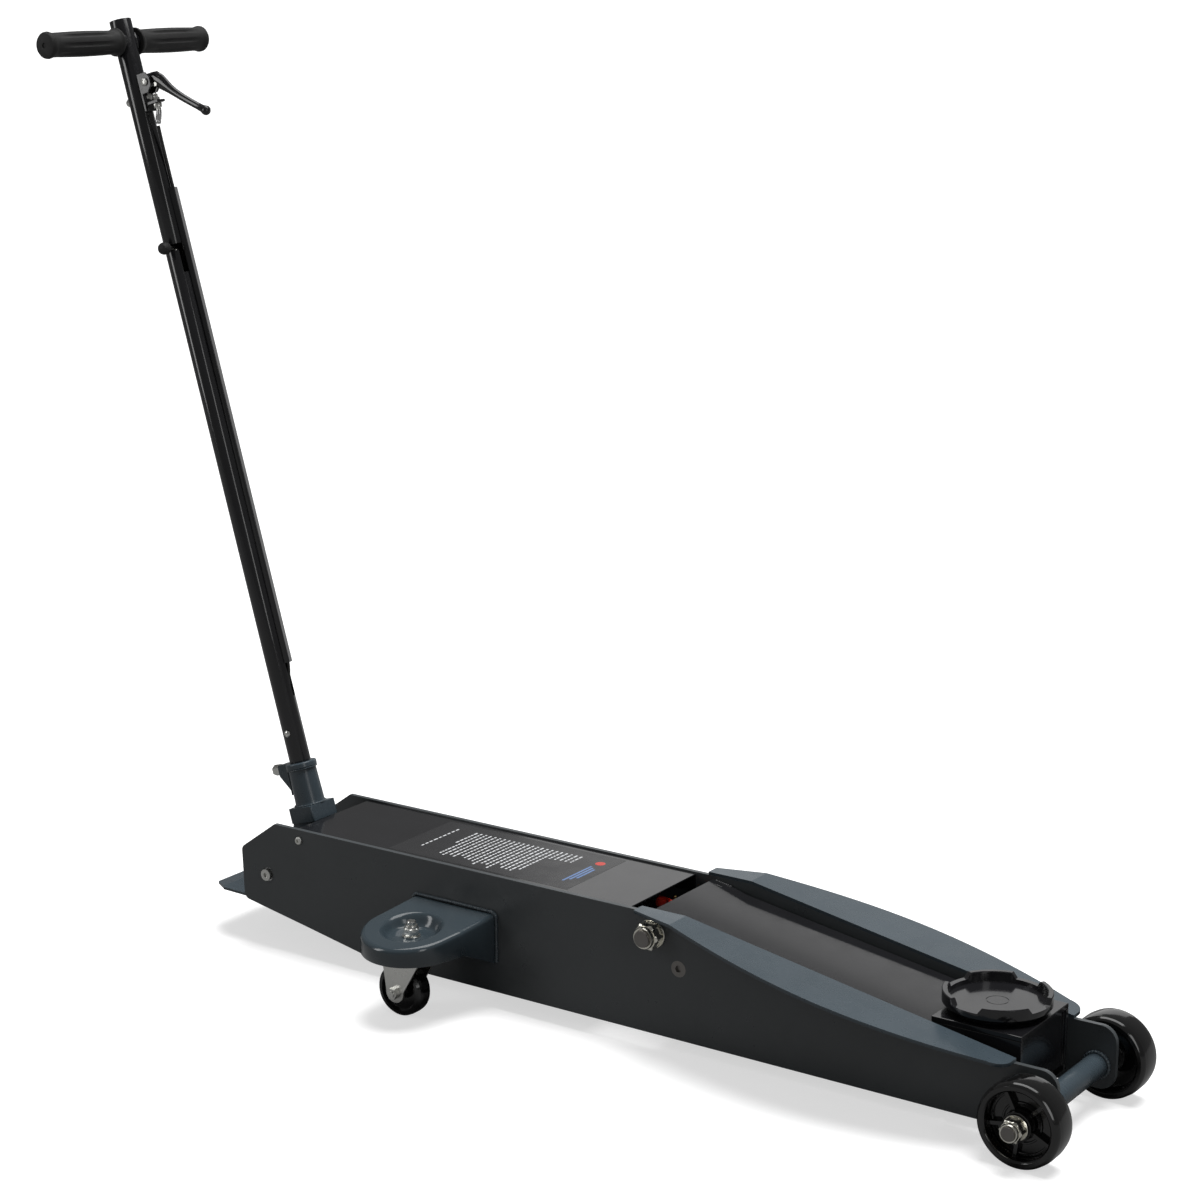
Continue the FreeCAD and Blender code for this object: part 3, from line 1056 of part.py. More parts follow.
def caster_axle():
    """Axle bolt through the fork and its nut."""
    ax = CASTER_X - CASTER_TRAIL
    out = FORK_HALF + FORK_T
    flats, height = CASTER_NUT
    shank = across(ax, CASTER_R, CASTER_AXLE_R, CASTER_Y - out - 6, CASTER_Y + out + 8)
    bolt = joined([shank, hexagon((ax, CASTER_Y - out - 5, CASTER_R), Y_AXIS, flats, 5.0)])
    nut = hexagon((ax, CASTER_Y + out, CASTER_R), Y_AXIS, flats, height)
    return [bolt, nut.cut(across(ax, CASTER_R, CASTER_AXLE_R + SEAT, 0, 300))]


def caster_wheel():
    half = CASTER_W / 2
    bore = CASTER_AXLE_R + RUN
    profile = [(bore, -half - 3), (9, -half - 3), (10, -half + 4), (24, -half + 4), (26, -half),
               (CASTER_R - 3, -half), (CASTER_R - 0.6, -half + 3), (CASTER_R, -half * 0.4),
               (CASTER_R, half * 0.4), (CASTER_R - 0.6, half - 3), (CASTER_R - 3, half), (26, half),
               (24, half - 4), (10, half - 4), (9, half + 3), (bore, half + 3)]
    return revolved(profile, CASTER_Y, CASTER_X - CASTER_TRAIL, CASTER_R)


def build_casters():
    pins = kingpin()
    nodes["caster_kingpins"] = Part.Compound(pins + [mirrored(p) for p in pins])
    fork = Part.Compound([caster_fork()] + caster_axle())
    pairs = (("wing_bracket", wing_bracket()), ("caster_fork", fork), ("caster_wheel", caster_wheel()))
    for name, shape in pairs:
        nodes[name + "_left"] = shape
        nodes[name + "_right"] = mirrored(shape)


# ---- build, centre and write -----------------------------------------------------
build_chassis()
build_front_wheels()
build_lift_arm()
build_linkage()
build_hydraulics()
build_handle()
build_casters()

whole = FreeCAD.BoundBox()
for shape in nodes.values():
    whole.add(shape.optimalBoundingBox(False, False))
SHIFT = V(-(whole.XMin + whole.XMax) / 2, -(whole.YMin + whole.YMax) / 2, -whole.ZMin)

os.makedirs("parts", exist_ok=True)
for name, shape in nodes.items():
    shape.translate(SHIFT)
    shape.exportStep("parts/%s.step" % name)
print("nodes %d, size %.1f x %.1f x %.1f" % (len(nodes), whole.XLength, whole.YLength, whole.ZLength))
print("shift %s" % SHIFT)
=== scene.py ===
import bpy
import bmesh
import json
import math
from mathutils import Vector, Matrix, noise


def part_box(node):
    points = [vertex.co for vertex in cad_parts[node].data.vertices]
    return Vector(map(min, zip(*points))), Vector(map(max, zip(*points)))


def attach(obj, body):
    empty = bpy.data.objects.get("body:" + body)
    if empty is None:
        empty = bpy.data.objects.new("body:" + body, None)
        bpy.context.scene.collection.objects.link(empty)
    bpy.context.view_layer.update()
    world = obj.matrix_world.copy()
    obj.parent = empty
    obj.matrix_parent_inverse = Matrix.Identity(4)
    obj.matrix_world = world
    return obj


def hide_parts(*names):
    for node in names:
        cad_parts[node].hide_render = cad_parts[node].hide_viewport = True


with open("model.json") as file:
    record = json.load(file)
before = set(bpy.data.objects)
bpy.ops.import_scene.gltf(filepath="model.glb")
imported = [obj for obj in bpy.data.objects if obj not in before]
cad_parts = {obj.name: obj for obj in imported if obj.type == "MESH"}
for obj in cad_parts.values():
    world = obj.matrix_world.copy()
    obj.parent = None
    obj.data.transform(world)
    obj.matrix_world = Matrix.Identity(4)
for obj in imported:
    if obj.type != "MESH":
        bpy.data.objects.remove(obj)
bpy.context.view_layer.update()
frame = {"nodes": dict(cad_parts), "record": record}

MM = 0.001
SIDES = ((1, "left"), (-1, "right"))
ACROSS = Vector((0, 1, 0))
UPRIGHT = Vector((0, 0, 1))
SHARP = math.radians(35)


# ---- the frame in millimetres -------------------------------------------------
# Places are given from the front axle's centre on the floor, as on the drawing.
def middle(name):
    low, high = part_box(name)
    return (Vector(low) + Vector(high)) / 2


SHIFT = Vector((middle("front_axle").x, 0, 0))
PIVOT = middle("lift_pivot_shaft") / MM - SHIFT / MM
AXLE_Z = 50.0
WHEEL_Y = 111.0
PLATE_Y = 79.0          # the outer face of a side plate
CASTER = Vector((-800.0, 153.0))
PRESSING_Z = 102.5      # the floor of a wing bracket's round pressing

# The handle: s runs up it from its foot, n stands forward of its axis.
LEAN = math.radians(16.0)
UP = Vector((-math.sin(LEAN), 0, math.cos(LEAN)))
FRONT = Vector((math.cos(LEAN), 0, math.sin(LEAN)))
FOOT = Vector((-1087.4, 0, 178.0))
T_BAR_S = 1012.0
LEVER_S, LEVER_N = 954.0, 25.3
BRACKET_BOLT_S = 936.5
ADJUSTER_N = 29.0


def at(x, y, z):
    return Vector((x, y, z)) * MM + SHIFT


def on_handle(s, n, y=0.0):
    """A point by its place up the handle, in front of its axis and to its left."""
    point = FOOT + UP * s + FRONT * n
    return at(point.x, y, point.z)


# ---- materials --------------------------------------------------------------
def node(tree, kind, x=0, y=0, **inputs):
    made = tree.nodes.new(kind)
    made.location = (x, y)
    for key, value in inputs.items():
        made.inputs[key.replace("_", " ")].default_value = value
    return made


def finish_material(name, colour, metallic=0.0, rough=0.4, rough_spread=0.08, grain=600.0, bump=0.15,
                    depth=0.00005, spread=0.10, coat=0.0, coat_rough=0.05, stretch=None, specular=0.5):
    """A surface with fine grain in its bump, and slow changes in its colour and roughness."""
    mat = bpy.data.materials.new(name)
    mat.use_nodes = True
    tree = mat.node_tree
    shader = tree.nodes["Principled BSDF"]
    shader.inputs["Metallic"].default_value = metallic
    shader.inputs["Coat Weight"].default_value = coat
    shader.inputs["Coat Roughness"].default_value = coat_rough
    shader.inputs["Specular IOR Level"].default_value = specular
    place = node(tree, "ShaderNodeTexCoord", -1100, 0)
    mapping = node(tree, "ShaderNodeMapping", -920, 0)
    if stretch:
        mapping.inputs["Scale"].default_value = stretch
    tree.links.new(place.outputs["Object"], mapping.inputs["Vector"])

    slow = node(tree, "ShaderNodeTexNoise", -720, 260, Scale=9.0, Detail=5.0, Roughness=0.6)
    tree.links.new(mapping.outputs["Vector"], slow.inputs["Vector"])
    tint = node(tree, "ShaderNodeMapRange", -520, 320, From_Min=0.3, From_Max=0.7, To_Min=1.0 - spread,
                To_Max=1.0 + spread)
    tree.links.new(slow.outputs["Fac"], tint.inputs["Value"])
    shade = node(tree, "ShaderNodeVectorMath", -320, 300)
    shade.operation = "MULTIPLY"
    shade.inputs[0].default_value = colour
    tree.links.new(tint.outputs["Result"], shade.inputs[1])
    tree.links.new(shade.outputs["Vector"], shader.inputs["Base Color"])

    smudge = node(tree, "ShaderNodeTexNoise", -720, 0, Scale=34.0, Detail=6.0, Roughness=0.65)
    tree.links.new(mapping.outputs["Vector"], smudge.inputs["Vector"])
    gloss = node(tree, "ShaderNodeMapRange", -520, 0, From_Min=0.3, From_Max=0.7,
                 To_Min=max(0.02, rough - rough_spread), To_Max=rough + rough_spread)
    tree.links.new(smudge.outputs["Fac"], gloss.inputs["Value"])
    tree.links.new(gloss.outputs["Result"], shader.inputs["Roughness"])

    fine = node(tree, "ShaderNodeTexNoise", -720, -260, Scale=grain, Detail=3.0, Roughness=0.55)
    tree.links.new(mapping.outputs["Vector"], fine.inputs["Vector"])
    relief = node(tree, "ShaderNodeBump", -320, -260, Strength=bump, Distance=depth)
    tree.links.new(fine.outputs["Fac"], relief.inputs["Height"])
    tree.links.new(relief.outputs["Normal"], shader.inputs["Normal"])
    return mat


FINISHES = {
    "chassis_paint": dict(colour=(0.036, 0.049, 0.059), rough=0.27, grain=420.0, bump=0.12, depth=0.00010,
                          spread=0.06, coat=0.15, coat_rough=0.2),
    # painted reflection: a neutral copy of the chassis paint for the side plates, standing in for the warm
    # dark reflection on their outer faces
    "side_painted_reflection": dict(colour=(0.045, 0.050, 0.053), rough=0.34, grain=420.0, bump=0.12, depth=0.00010,
                       spread=0.06, coat=0.1, coat_rough=0.2),
    # painted shade: a darker copy of the chassis paint for the wing brackets, so their tops render darker
    # than the flanges
    "bracket_painted_shade": dict(colour=(0.024, 0.034, 0.041), rough=0.17, rough_spread=0.05, grain=300.0, bump=0.12,
                          depth=0.00010, spread=0.06, coat=0.5, coat_rough=0.08),
    "gloss_black": dict(colour=(0.0075, 0.0075, 0.0085), rough=0.17, rough_spread=0.05, grain=260.0,
                        bump=0.12, depth=0.00008, spread=0.15, coat=0.4, coat_rough=0.06),
    "wheel_black": dict(colour=(0.0035, 0.0035, 0.0035), rough=0.12, rough_spread=0.05, grain=300.0,
                        bump=0.15, depth=0.0001, spread=0.2, coat=0.5, coat_rough=0.08),
    "zinc": dict(colour=(0.70, 0.70, 0.67), metallic=1.0, rough=0.30, rough_spread=0.09, grain=900.0,
                 bump=0.25, depth=0.00004, spread=0.10),
    "zinc_yellow": dict(colour=(0.82, 0.80, 0.72), metallic=1.0, rough=0.22, rough_spread=0.09, grain=900.0,
                        bump=0.25, depth=0.00004, spread=0.14),
    "steel": dict(colour=(0.52, 0.52, 0.52), metallic=1.0, rough=0.26, rough_spread=0.07, grain=500.0,
                  bump=0.2, depth=0.00003, spread=0.08, stretch=(1.0, 12.0, 12.0)),
    "dark_bolt": dict(colour=(0.20, 0.19, 0.18), metallic=0.9, rough=0.36, grain=800.0, bump=0.2,
                      depth=0.00005, spread=0.1),
    "cast_block": dict(colour=(0.010, 0.011, 0.012), rough=0.5, grain=340.0, bump=0.6, depth=0.0003,
                       spread=0.2),
    "red_plastic": dict(colour=(0.80, 0.035, 0.015), rough=0.36, grain=700.0, bump=0.15, depth=0.00004,
                        spread=0.06),
    "brass": dict(colour=(0.72, 0.50, 0.20), metallic=1.0, rough=0.28, grain=800.0, bump=0.2, depth=0.00004,
                  spread=0.1),
    "rubber": dict(colour=(0.016, 0.016, 0.016), rough=0.62, rough_spread=0.1, grain=1100.0, bump=0.55,
                   depth=0.00012, spread=0.16, specular=0.4),
    "cable_black": dict(colour=(0.012, 0.012, 0.012), rough=0.42, grain=900.0, bump=0.3, depth=0.00005,
                        spread=0.1),
    "weld": dict(colour=(0.030, 0.041, 0.049), rough=0.30, grain=260.0, bump=0.6, depth=0.0003, spread=0.1,
                 coat=0.3),
    "weld_black": dict(colour=(0.008, 0.008, 0.009), rough=0.22, grain=260.0, bump=0.6, depth=0.0003,
                       spread=0.15, coat=0.3),
    "label": dict(colour=(0.018, 0.018, 0.019), rough=0.27, rough_spread=0.05, grain=420.0, bump=0.1,
                  depth=0.00003, spread=0.08),
    "print_white": dict(colour=(0.46, 0.47, 0.48), rough=0.45, grain=900.0, bump=0.05, spread=0.12),
    "print_blue": dict(colour=(0.10, 0.16, 0.30), rough=0.4, grain=900.0, bump=0.05, spread=0.10),
    "print_red": dict(colour=(0.40, 0.05, 0.04), rough=0.4, grain=900.0, bump=0.05, spread=0.10),
}
MATS = {name: finish_material(name, **values) for name, values in FINISHES.items()}


# ---- the CAD nodes get materials and softened edges ---------------------------
# Nodes that don't look like their slot's own material, and the widths of the edges' bevels. The side plates
# take a neutral copy of the chassis paint that is a painted reflection.
OTHER_FINISH = {"side_plate_left": "side_painted_reflection", "side_plate_right": "side_painted_reflection",
                "front_axle_nuts": "zinc_yellow", "caster_fork_left": "zinc", "caster_fork_right": "zinc",
                "lock_rod": "zinc", "lift_pivot_shaft": "dark_bolt", "front_axle": "dark_bolt"}
EDGE = {"side_plate_left": 0.9, "side_plate_right": 0.9, "top_flanges": 0.9, "base_plate": 0.7,
        "top_cover": 0.5,
        "arm_side_plates": 0.6, "arm_top_plate": 0.8, "ram_lugs": 0.6, "radius_rods": 0.7,
        "carrier_top_plate": 0.8, "carrier_body": 0.7, "saddle": 0.7,
        "lift_pivot_nuts": 0.7, "lift_pivot_shaft": 0.9, "front_axle_nuts": 0.6, "front_axle": 0.9,
        "front_axle_tube": 0.4, "axle_spacers": 0.8, "front_wheel_left": 0.5, "front_wheel_right": 0.5,
        "caster_kingpins": 0.5, "caster_fork_left": 0.5, "caster_fork_right": 0.5,
        "pump_block": 1.2, "ram_crosshead": 1.0, "filler_shelf": 0.5, "valve_lever": 0.4,
        "yoke": 0.9, "clamp_bolt": 0.5, "handle_tube": 0.4, "cable_channel": 0.4, "lever_bracket": 0.4,
        "bracket_bolts": 0.4, "lock_knob": 0.3}
SEAM = 0.000002         # vertices nearer than this are joined before the bevel


def dress(name, material, width):
    obj = frame["nodes"][name]
    for entry in obj.material_slots:
        entry.material = MATS[material]
    if width:
        weld = obj.modifiers.new("weld", "WELD")
        weld.merge_threshold = SEAM
        bevel = obj.modifiers.new("bevel", "BEVEL")
        bevel.width = width * MM
        bevel.segments = 2
        bevel.limit_method = "ANGLE"
        bevel.angle_limit = SHARP
        bevel.use_clamp_overlap = True
        bevel.harden_normals = False


slot_of_node = {entry["node"]: entry["material_slot"] for entry in frame["record"]["subparts"]}
for name in frame["nodes"]:
    dress(name, OTHER_FINISH.get(name, slot_of_node[name]), EDGE.get(name))


# ---- pieces made in mesh code ----------------------------------------------------
def smooth(obj):
    for face in obj.data.polygons:
        face.use_smooth = True
    split = obj.modifiers.new("sharp", "EDGE_SPLIT")
    split.split_angle = SHARP


def piece(name, bm, body, material):
    mesh = bpy.data.meshes.new(name)
    bmesh.ops.recalc_face_normals(bm, faces=bm.faces)
    bm.to_mesh(mesh)
    bm.free()
    obj = bpy.data.objects.new(name, mesh)
    bpy.context.scene.collection.objects.link(obj)
    obj.data.materials.append(MATS[material])
    smooth(obj)
    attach(obj, body)
    return obj


def frame_along(direction):
    """Two unit vectors square to a direction."""
    direction = direction.normalized()
    side = direction.cross(Vector((0, 0, 1)))
    if side.length < 0.05:
        side = direction.cross(Vector((0, 1, 0)))
    side.normalize()
    return side, direction.cross(side)


def ring_round(bm, centre, side, other, radii):
    """Points round a centre at even turns, one for each radius."""
    ring = []
    for j, radius in enumerate(radii):
        turn = 2 * math.pi * j / len(radii)
        ring.append(bm.verts.new(centre + (side * math.cos(turn) + other * math.sin(turn)) * radius))
    return ring


def bridge(bm, a, b):
    """Faces between two rings, either of which may be a single point."""
    count = max(len(a), len(b))
    for j in range(count):
        k = (j + 1) % count
        if len(a) == 1:
            bm.faces.new((a[0], b[j], b[k]))
        elif len(b) == 1:
            bm.faces.new((a[j], a[k], b[0]))
        else:
            bm.faces.new((a[j], a[k], b[k], b[j]))


def sweep(bm, points, radii, sides=12, closed=False):
    """Rings along a path, joined into a tube. radii is one radius for each point."""
    rings = []
    count = len(points)
    side = None
    for i, point in enumerate(points):
        before = points[i - 1] if i or closed else points[0]
        after = points[(i + 1) % count] if i + 1 < count or closed else points[-1]
        along = (after - before).normalized()
        if side is None:
            side = frame_along(along)[0]
        side = (side - along * side.dot(along)).normalized()
        rings.append(ring_round(bm, point, side, along.cross(side), [radii[i]] * sides))
    for a, b in zip(rings, rings[1:]):
        bridge(bm, a, b)
    if closed:
        bridge(bm, rings[-1], rings[0])
    else:
        bm.faces.new(rings[0])
        bm.faces.new(rings[-1])


def lathe(bm, origin, axis, profile, sides=48, flute=None):
    """Turn (radius, offset) points about an axis. flute gives a radius factor for a turn and an offset."""
    side, other = frame_along(axis)
    axis = axis.normalized()
    rings = []
    for radius, offset in profile:
        centre = origin + axis * offset * MM
        if radius == 0:
            rings.append([bm.verts.new(centre)])
            continue
        factors = [flute(2 * math.pi * j / sides, offset) if flute else 1.0 for j in range(sides)]
        rings.append(ring_round(bm, centre, side, other, [radius * factor * MM for factor in factors]))
    for a, b in zip(rings, rings[1:]):
        bridge(bm, a, b)


def spaced(points, step, closed=False):
    """The same path with a point about every step."""
    out = []
    ends = points + points[:1] if closed else points
    for a, b in zip(ends, ends[1:]):
        count = max(1, round((b - a).length / step))
        out.extend(a + (b - a) * (i / count) for i in range(count))
    if not closed:
        out.append(ends[-1])
    return out


BEAD_STEP = 0.7


def bead(name, points, width, body, material="weld", closed=False, pitch=2.6):
    """A weld bead: overlapping ripples along a path, with a wandering width."""
    path = spaced([Vector(p) for p in points], BEAD_STEP * MM, closed)
    radii = []
    for i, point in enumerate(path):
        ripple = abs(math.sin(math.pi * i * BEAD_STEP / pitch))
        wander = noise.noise(point * 90.0)
        radii.append(width * MM * (0.80 + 0.22 * ripple + 0.16 * wander))
    bm = bmesh.new()
    sweep(bm, path, radii, 10, closed)
    return piece(name, bm, body, material)


def circle(centre, axis, radius, steps=48):
    side, other = frame_along(axis)
    out = []
    for i in range(steps):
        turn = 2 * math.pi * i / steps
        out.append(centre + (side * math.cos(turn) + other * math.sin(turn)) * radius * MM)
    return out


def thread(name, start, axis, radius, length, pitch, body, material):
    """The end of a threaded rod: a chamfer and a row of thread crests."""
    profile = [(0, length), (radius - pitch * 0.7, length), (radius - 0.2, length - pitch * 0.6)]
    offset = length - pitch * 0.6
    while offset > pitch:
        profile.append((radius, offset - pitch * 0.25))
        profile.append((radius - pitch * 0.5, offset - pitch * 0.55))
        profile.append((radius - pitch * 0.5, offset - pitch * 0.7))
        profile.append((radius, offset - pitch))
        offset -= pitch
    profile.append((radius, 0))
    profile.append((0, 0))
    bm = bmesh.new()
    lathe(bm, start, axis, profile, 40)
    return piece(name, bm, body, material)


# ---- stage, light and camera ---------------------------------------------------------
def lay_floor():
    """A white floor that looks brighter to the camera than it lights the jack from below."""
    bm = bmesh.new()
    bmesh.ops.create_circle(bm, cap_ends=True, radius=60.0, segments=64)
    mesh = bpy.data.meshes.new("floor")
    bm.to_mesh(mesh)
    bm.free()
    floor = bpy.data.objects.new("floor", mesh)
    bpy.context.scene.collection.objects.link(floor)
    mat = bpy.data.materials.new("floor_white")
    mat.use_nodes = True
    tree = mat.node_tree
    shader = tree.nodes["Principled BSDF"]
    shader.inputs["Roughness"].default_value = 0.9
    shader.inputs["Specular IOR Level"].default_value = 0.1
    shader.inputs["Emission Color"].default_value = (1, 1, 1, 1)
    wash = node(tree, "ShaderNodeTexNoise", -400, 0, Scale=0.8, Detail=2.0)
    tone = node(tree, "ShaderNodeMapRange", -200, 0, To_Min=0.47, To_Max=0.49)
    tree.links.new(wash.outputs["Fac"], tone.inputs["Value"])
    seen = node(tree, "ShaderNodeLightPath")
    bounce = node(tree, "ShaderNodeMapRange", To_Min=0.14)
    tree.links.new(seen.outputs["Is Camera Ray"], bounce.inputs["Value"])
    tree.links.new(tone.outputs["Result"], bounce.inputs["To Max"])
    tree.links.new(bounce.outputs["Result"], shader.inputs["Base Color"])
    glow = node(tree, "ShaderNodeMapRange", To_Max=0.60)
    tree.links.new(seen.outputs["Is Camera Ray"], glow.inputs["Value"])
    tree.links.new(glow.outputs["Result"], shader.inputs["Emission Strength"])
    mesh.materials.append(mat)


def fill():
    """A white world that gives little light of its own."""
    world = bpy.data.worlds.new("studio")
    world.use_nodes = True
    tree = world.node_tree
    back = tree.nodes["Background"]
    path = node(tree, "ShaderNodeLightPath")
    mix = node(tree, "ShaderNodeMapRange", To_Min=0.13, To_Max=1.0)
    tree.links.new(path.outputs["Is Camera Ray"], mix.inputs["Value"])
    tree.links.new(mix.outputs["Result"], back.inputs["Strength"])
    back.inputs["Color"].default_value = (1, 1, 1, 1)
    bpy.context.scene.world = world


def area(name, place, target, width, height, power):
    data = bpy.data.lights.new(name, "AREA")
    data.energy = power
    data.shape = "RECTANGLE"
    data.size = width
    data.size_y = height
    obj = bpy.data.objects.new(name, data)
    obj.location = place
    obj.rotation_euler = (Vector(target) - Vector(place)).to_track_quat("-Z", "Y").to_euler()
    obj.visible_camera = False
    bpy.context.scene.collection.objects.link(obj)


def lights():
    sun = bpy.data.lights.new("sky", "SUN")
    sun.energy = 4.3
    sun.angle = math.radians(34)
    obj = bpy.data.objects.new("sky", sun)
    obj.rotation_euler = (math.radians(-9), math.radians(6), 0)
    obj.visible_glossy = False
    bpy.context.scene.collection.objects.link(obj)
    area("panel_back", (-0.55, 2.3, 0.80), (-0.1, 0.0, 0.15), 2.1, 1.3, 5.2)
    area("softbox_top", (0.0, 0.6, 3.4), (0, 0, 0), 3.2, 1.8, 50)
    area("softbox_left", (-2.6, -2.6, 1.8), (-0.3, 0, 0.4), 0.9, 2.4, 24)
    area("softbox_right", (3.0, -1.6, 1.6), (0.3, 0, 0.3), 0.8, 2.2, 12)


def camera():
    data = bpy.data.cameras.new("camera")
    data.lens = 81.96
    data.sensor_width = 36.0
    data.clip_end = 200.0
    obj = bpy.data.objects.new("camera", data)
    obj.location = at(1161, -2601, 1281)
    obj.rotation_euler = (math.radians(90 - 13.63), 0, math.radians(34.51))
    bpy.context.scene.collection.objects.link(obj)
    bpy.context.scene.camera = obj


lay_floor()
fill()
lights()
camera()
bpy.context.scene.view_settings.view_transform = "Standard"


# ---- grips and T-bar -------------------------------------------------------------
GRIP_OUTLINE = [(11.4, 16.0), (17.2, 16.0), (17.9, 16.8), (17.9, 18.6), (16.8, 20.0), (15.6, 21.5),
                (15.2, 24.0)]
GRIP_OUTLINE += [(15.2 + 1.0 * math.sin(math.pi * i / 40), 26 + i / 40 * 104) for i in range(41)]
GRIP_OUTLINE += [(15.6, 132.5), (16.4, 135.0), (16.9, 137.0), (16.6, 139.5), (15.0, 141.6), (11.0, 142.8),
                 (5.0, 143.0), (3.4, 142.9), (3.0, 141.5), (0, 141.4)]
FLUTES, FLUTE_DEPTH = 8, 0.13
FLUTE_START, FLUTE_END = 30, 128
FLUTE_RISE, FLUTE_FALL = 22, 26
BAR_R, TUBE_R = 11.3, 14.3


def flute(turn, offset):
    rise = min(1.0, max(0.0, (offset - FLUTE_START) / FLUTE_RISE))
    fall = min(1.0, max(0.0, (FLUTE_END - offset) / FLUTE_FALL))
    return 1.0 - FLUTE_DEPTH * rise * fall * max(0.0, math.cos(FLUTES * turn)) ** 0.9


def grip(side_name, sign):
    """Rubber grip with lens-shaped flutes, a flange at each end and a closed outer end."""
    bm = bmesh.new()
    lathe(bm, on_handle(T_BAR_S, 0), ACROSS * sign, GRIP_OUTLINE, 96, flute)
    made = piece("grip_skin_" + side_name, bm, "handle", "rubber")
    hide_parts("grip_" + side_name)


def t_bar_weld(side_name, sign):
    """The bead where the bar goes into the tube."""
    line = []
    for i in range(48):
        turn = 2 * math.pi * i / 48
        n, s = BAR_R * math.cos(turn), BAR_R * math.sin(turn)
        line.append(on_handle(T_BAR_S + s, n, sign * math.sqrt(TUBE_R ** 2 - n * n)))
    bead("t_bar_weld_" + side_name, line, 1.9, "handle", "weld_black", True)


for sign, side_name in SIDES:
    grip(side_name, sign)
    t_bar_weld(side_name, sign)


# ---- nuts and washers ------------------------------------------------------------
def chamfered_nut(bm, origin, axis, flats, height, bore, crown):
    """A hexagon with its corners turned off at both ends, and a round lock crown on top."""
    def hexagon(turn):
        return flats / 2 / math.cos(turn % (math.pi / 3) - math.pi / 6)

    tip = flats / math.sqrt(3)
    chamfer = (tip - flats / 2) * 0.55
    face_r = flats / 2 * 0.97
    caps = [(bore, 0.0), (face_r, 0.0), (tip, chamfer), (tip, height - chamfer), (face_r, height)]
    if crown:
        caps += [(flats * 0.455, height + 0.1), (flats * 0.455, height + crown * 0.55),
                 (flats * 0.42, height + crown), (bore + 1.0, height + crown)]
    caps += [(bore, height + crown - 0.4), (bore, height * 0.5), (bore, 0.0)]

    side, other = frame_along(axis)
    axis = axis.normalized()
    turns = [2 * math.pi * j / 72 for j in range(72)]
    rings = []
    for radius, offset in caps:
        on_hexagon = offset <= height and radius > bore
        radii = [(min(radius, hexagon(turn)) if on_hexagon else radius) * MM for turn in turns]
        rings.append(ring_round(bm, origin + axis * offset * MM, side, other, radii))
    for a, b in zip(rings, rings[1:]):
        bridge(bm, a, b)


def washer(bm, origin, axis, radius, thick, bore):
    lathe(bm, origin, axis, [(bore, 0), (radius - 0.4, 0), (radius, 0.4), (radius, thick - 0.5),
                             (radius - 0.5, thick), (bore + 0.3, thick), (bore, thick - 0.3), (bore, 0)], 64)


def nut_pair(name, x, start, z, flats, height, crown, washer_r, washer_t, bore, replaced):
    for sign, side_name in SIDES:
        bm = bmesh.new()
        axis = ACROSS * sign
        washer(bm, at(x, sign * start, z), axis, washer_r, washer_t, bore)
        chamfered_nut(bm, at(x, sign * (start + washer_t), z), axis, flats, height, bore, crown)
        made = piece("%s_%s" % (name, side_name), bm, "chassis", "zinc_yellow")
        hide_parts(replaced)


nut_pair("lift_nut", PIVOT.x, PLATE_Y, PIVOT.z, flats=30.0, height=14.0, crown=5.0, washer_r=17.8,
         washer_t=3.0, bore=10.05, replaced="lift_pivot_nuts")
nut_pair("axle_nut", 0.0, 130.4, AXLE_Z, flats=24.0, height=12.5, crown=5.0, washer_r=14.5, washer_t=2.5,
         bore=8.05, replaced="front_axle_nuts")


# ---- rod ends: the thread that stands out of each lock nut -------------------------------
for sign, side_name in SIDES:
    thread("lift_thread_" + side_name, at(PIVOT.x, sign * 98.5, PIVOT.z), ACROSS * sign, 9.9, 5.4, 1.5,
           "chassis", "dark_bolt")
    thread("axle_thread_" + side_name, at(0, sign * 147.0, AXLE_Z), ACROSS * sign, 7.9, 4.9, 1.25,
           "chassis", "dark_bolt")


# ---- front wheels ---------------------------------------------------------------------
def wheel_details(side_name, sign):
    """Step rings on the web, a seal round the hub and a grease nipple."""
    body = "front_wheel_" + side_name
    out = ACROSS * sign
    centre = at(0, sign * WHEEL_Y, AXLE_Z)
    bm = bmesh.new()
    lathe(bm, centre, out, [(34.2, 3.0), (34.2, 5.2), (34.8, 5.8), (36.0, 5.8), (36.6, 5.2), (36.6, 3.0)], 96)
    lathe(bm, centre, out, [(21.4, 3.0), (21.4, 5.0), (22.0, 5.6), (23.4, 5.6), (24.0, 5.0), (24.0, 3.0)], 96)
    piece("wheel_steps_" + side_name, bm, body, "wheel_black")
    bm = bmesh.new()
    lathe(bm, centre, out, [(14.9, 18.6), (14.9, 19.2), (15.4, 19.6), (16.4, 19.6), (16.9, 19.1),
                            (16.9, 18.6)], 72)
    piece("wheel_seal_" + side_name, bm, body, "rubber")
    bm = bmesh.new()
    turn = math.radians(232)
    outward = Vector((math.cos(turn), 0, math.sin(turn)))
    foot = centre + outward * 19.2 * MM + out * 9.0 * MM
    lathe(bm, foot, out + outward * 0.35, [(0, -2), (3.0, -2), (3.0, 2.5), (2.0, 3.2), (1.7, 4.6), (2.4, 5.4),
                                           (2.4, 7.0), (1.3, 8.2), (0, 8.4)], 28)
    piece("wheel_nipple_" + side_name, bm, body, "brass")


for sign, side_name in SIDES:
    wheel_details(side_name, sign)


# ---- welds ---------------------------------------------------------------------------
def spots(points):
    return [at(*point) for point in points]


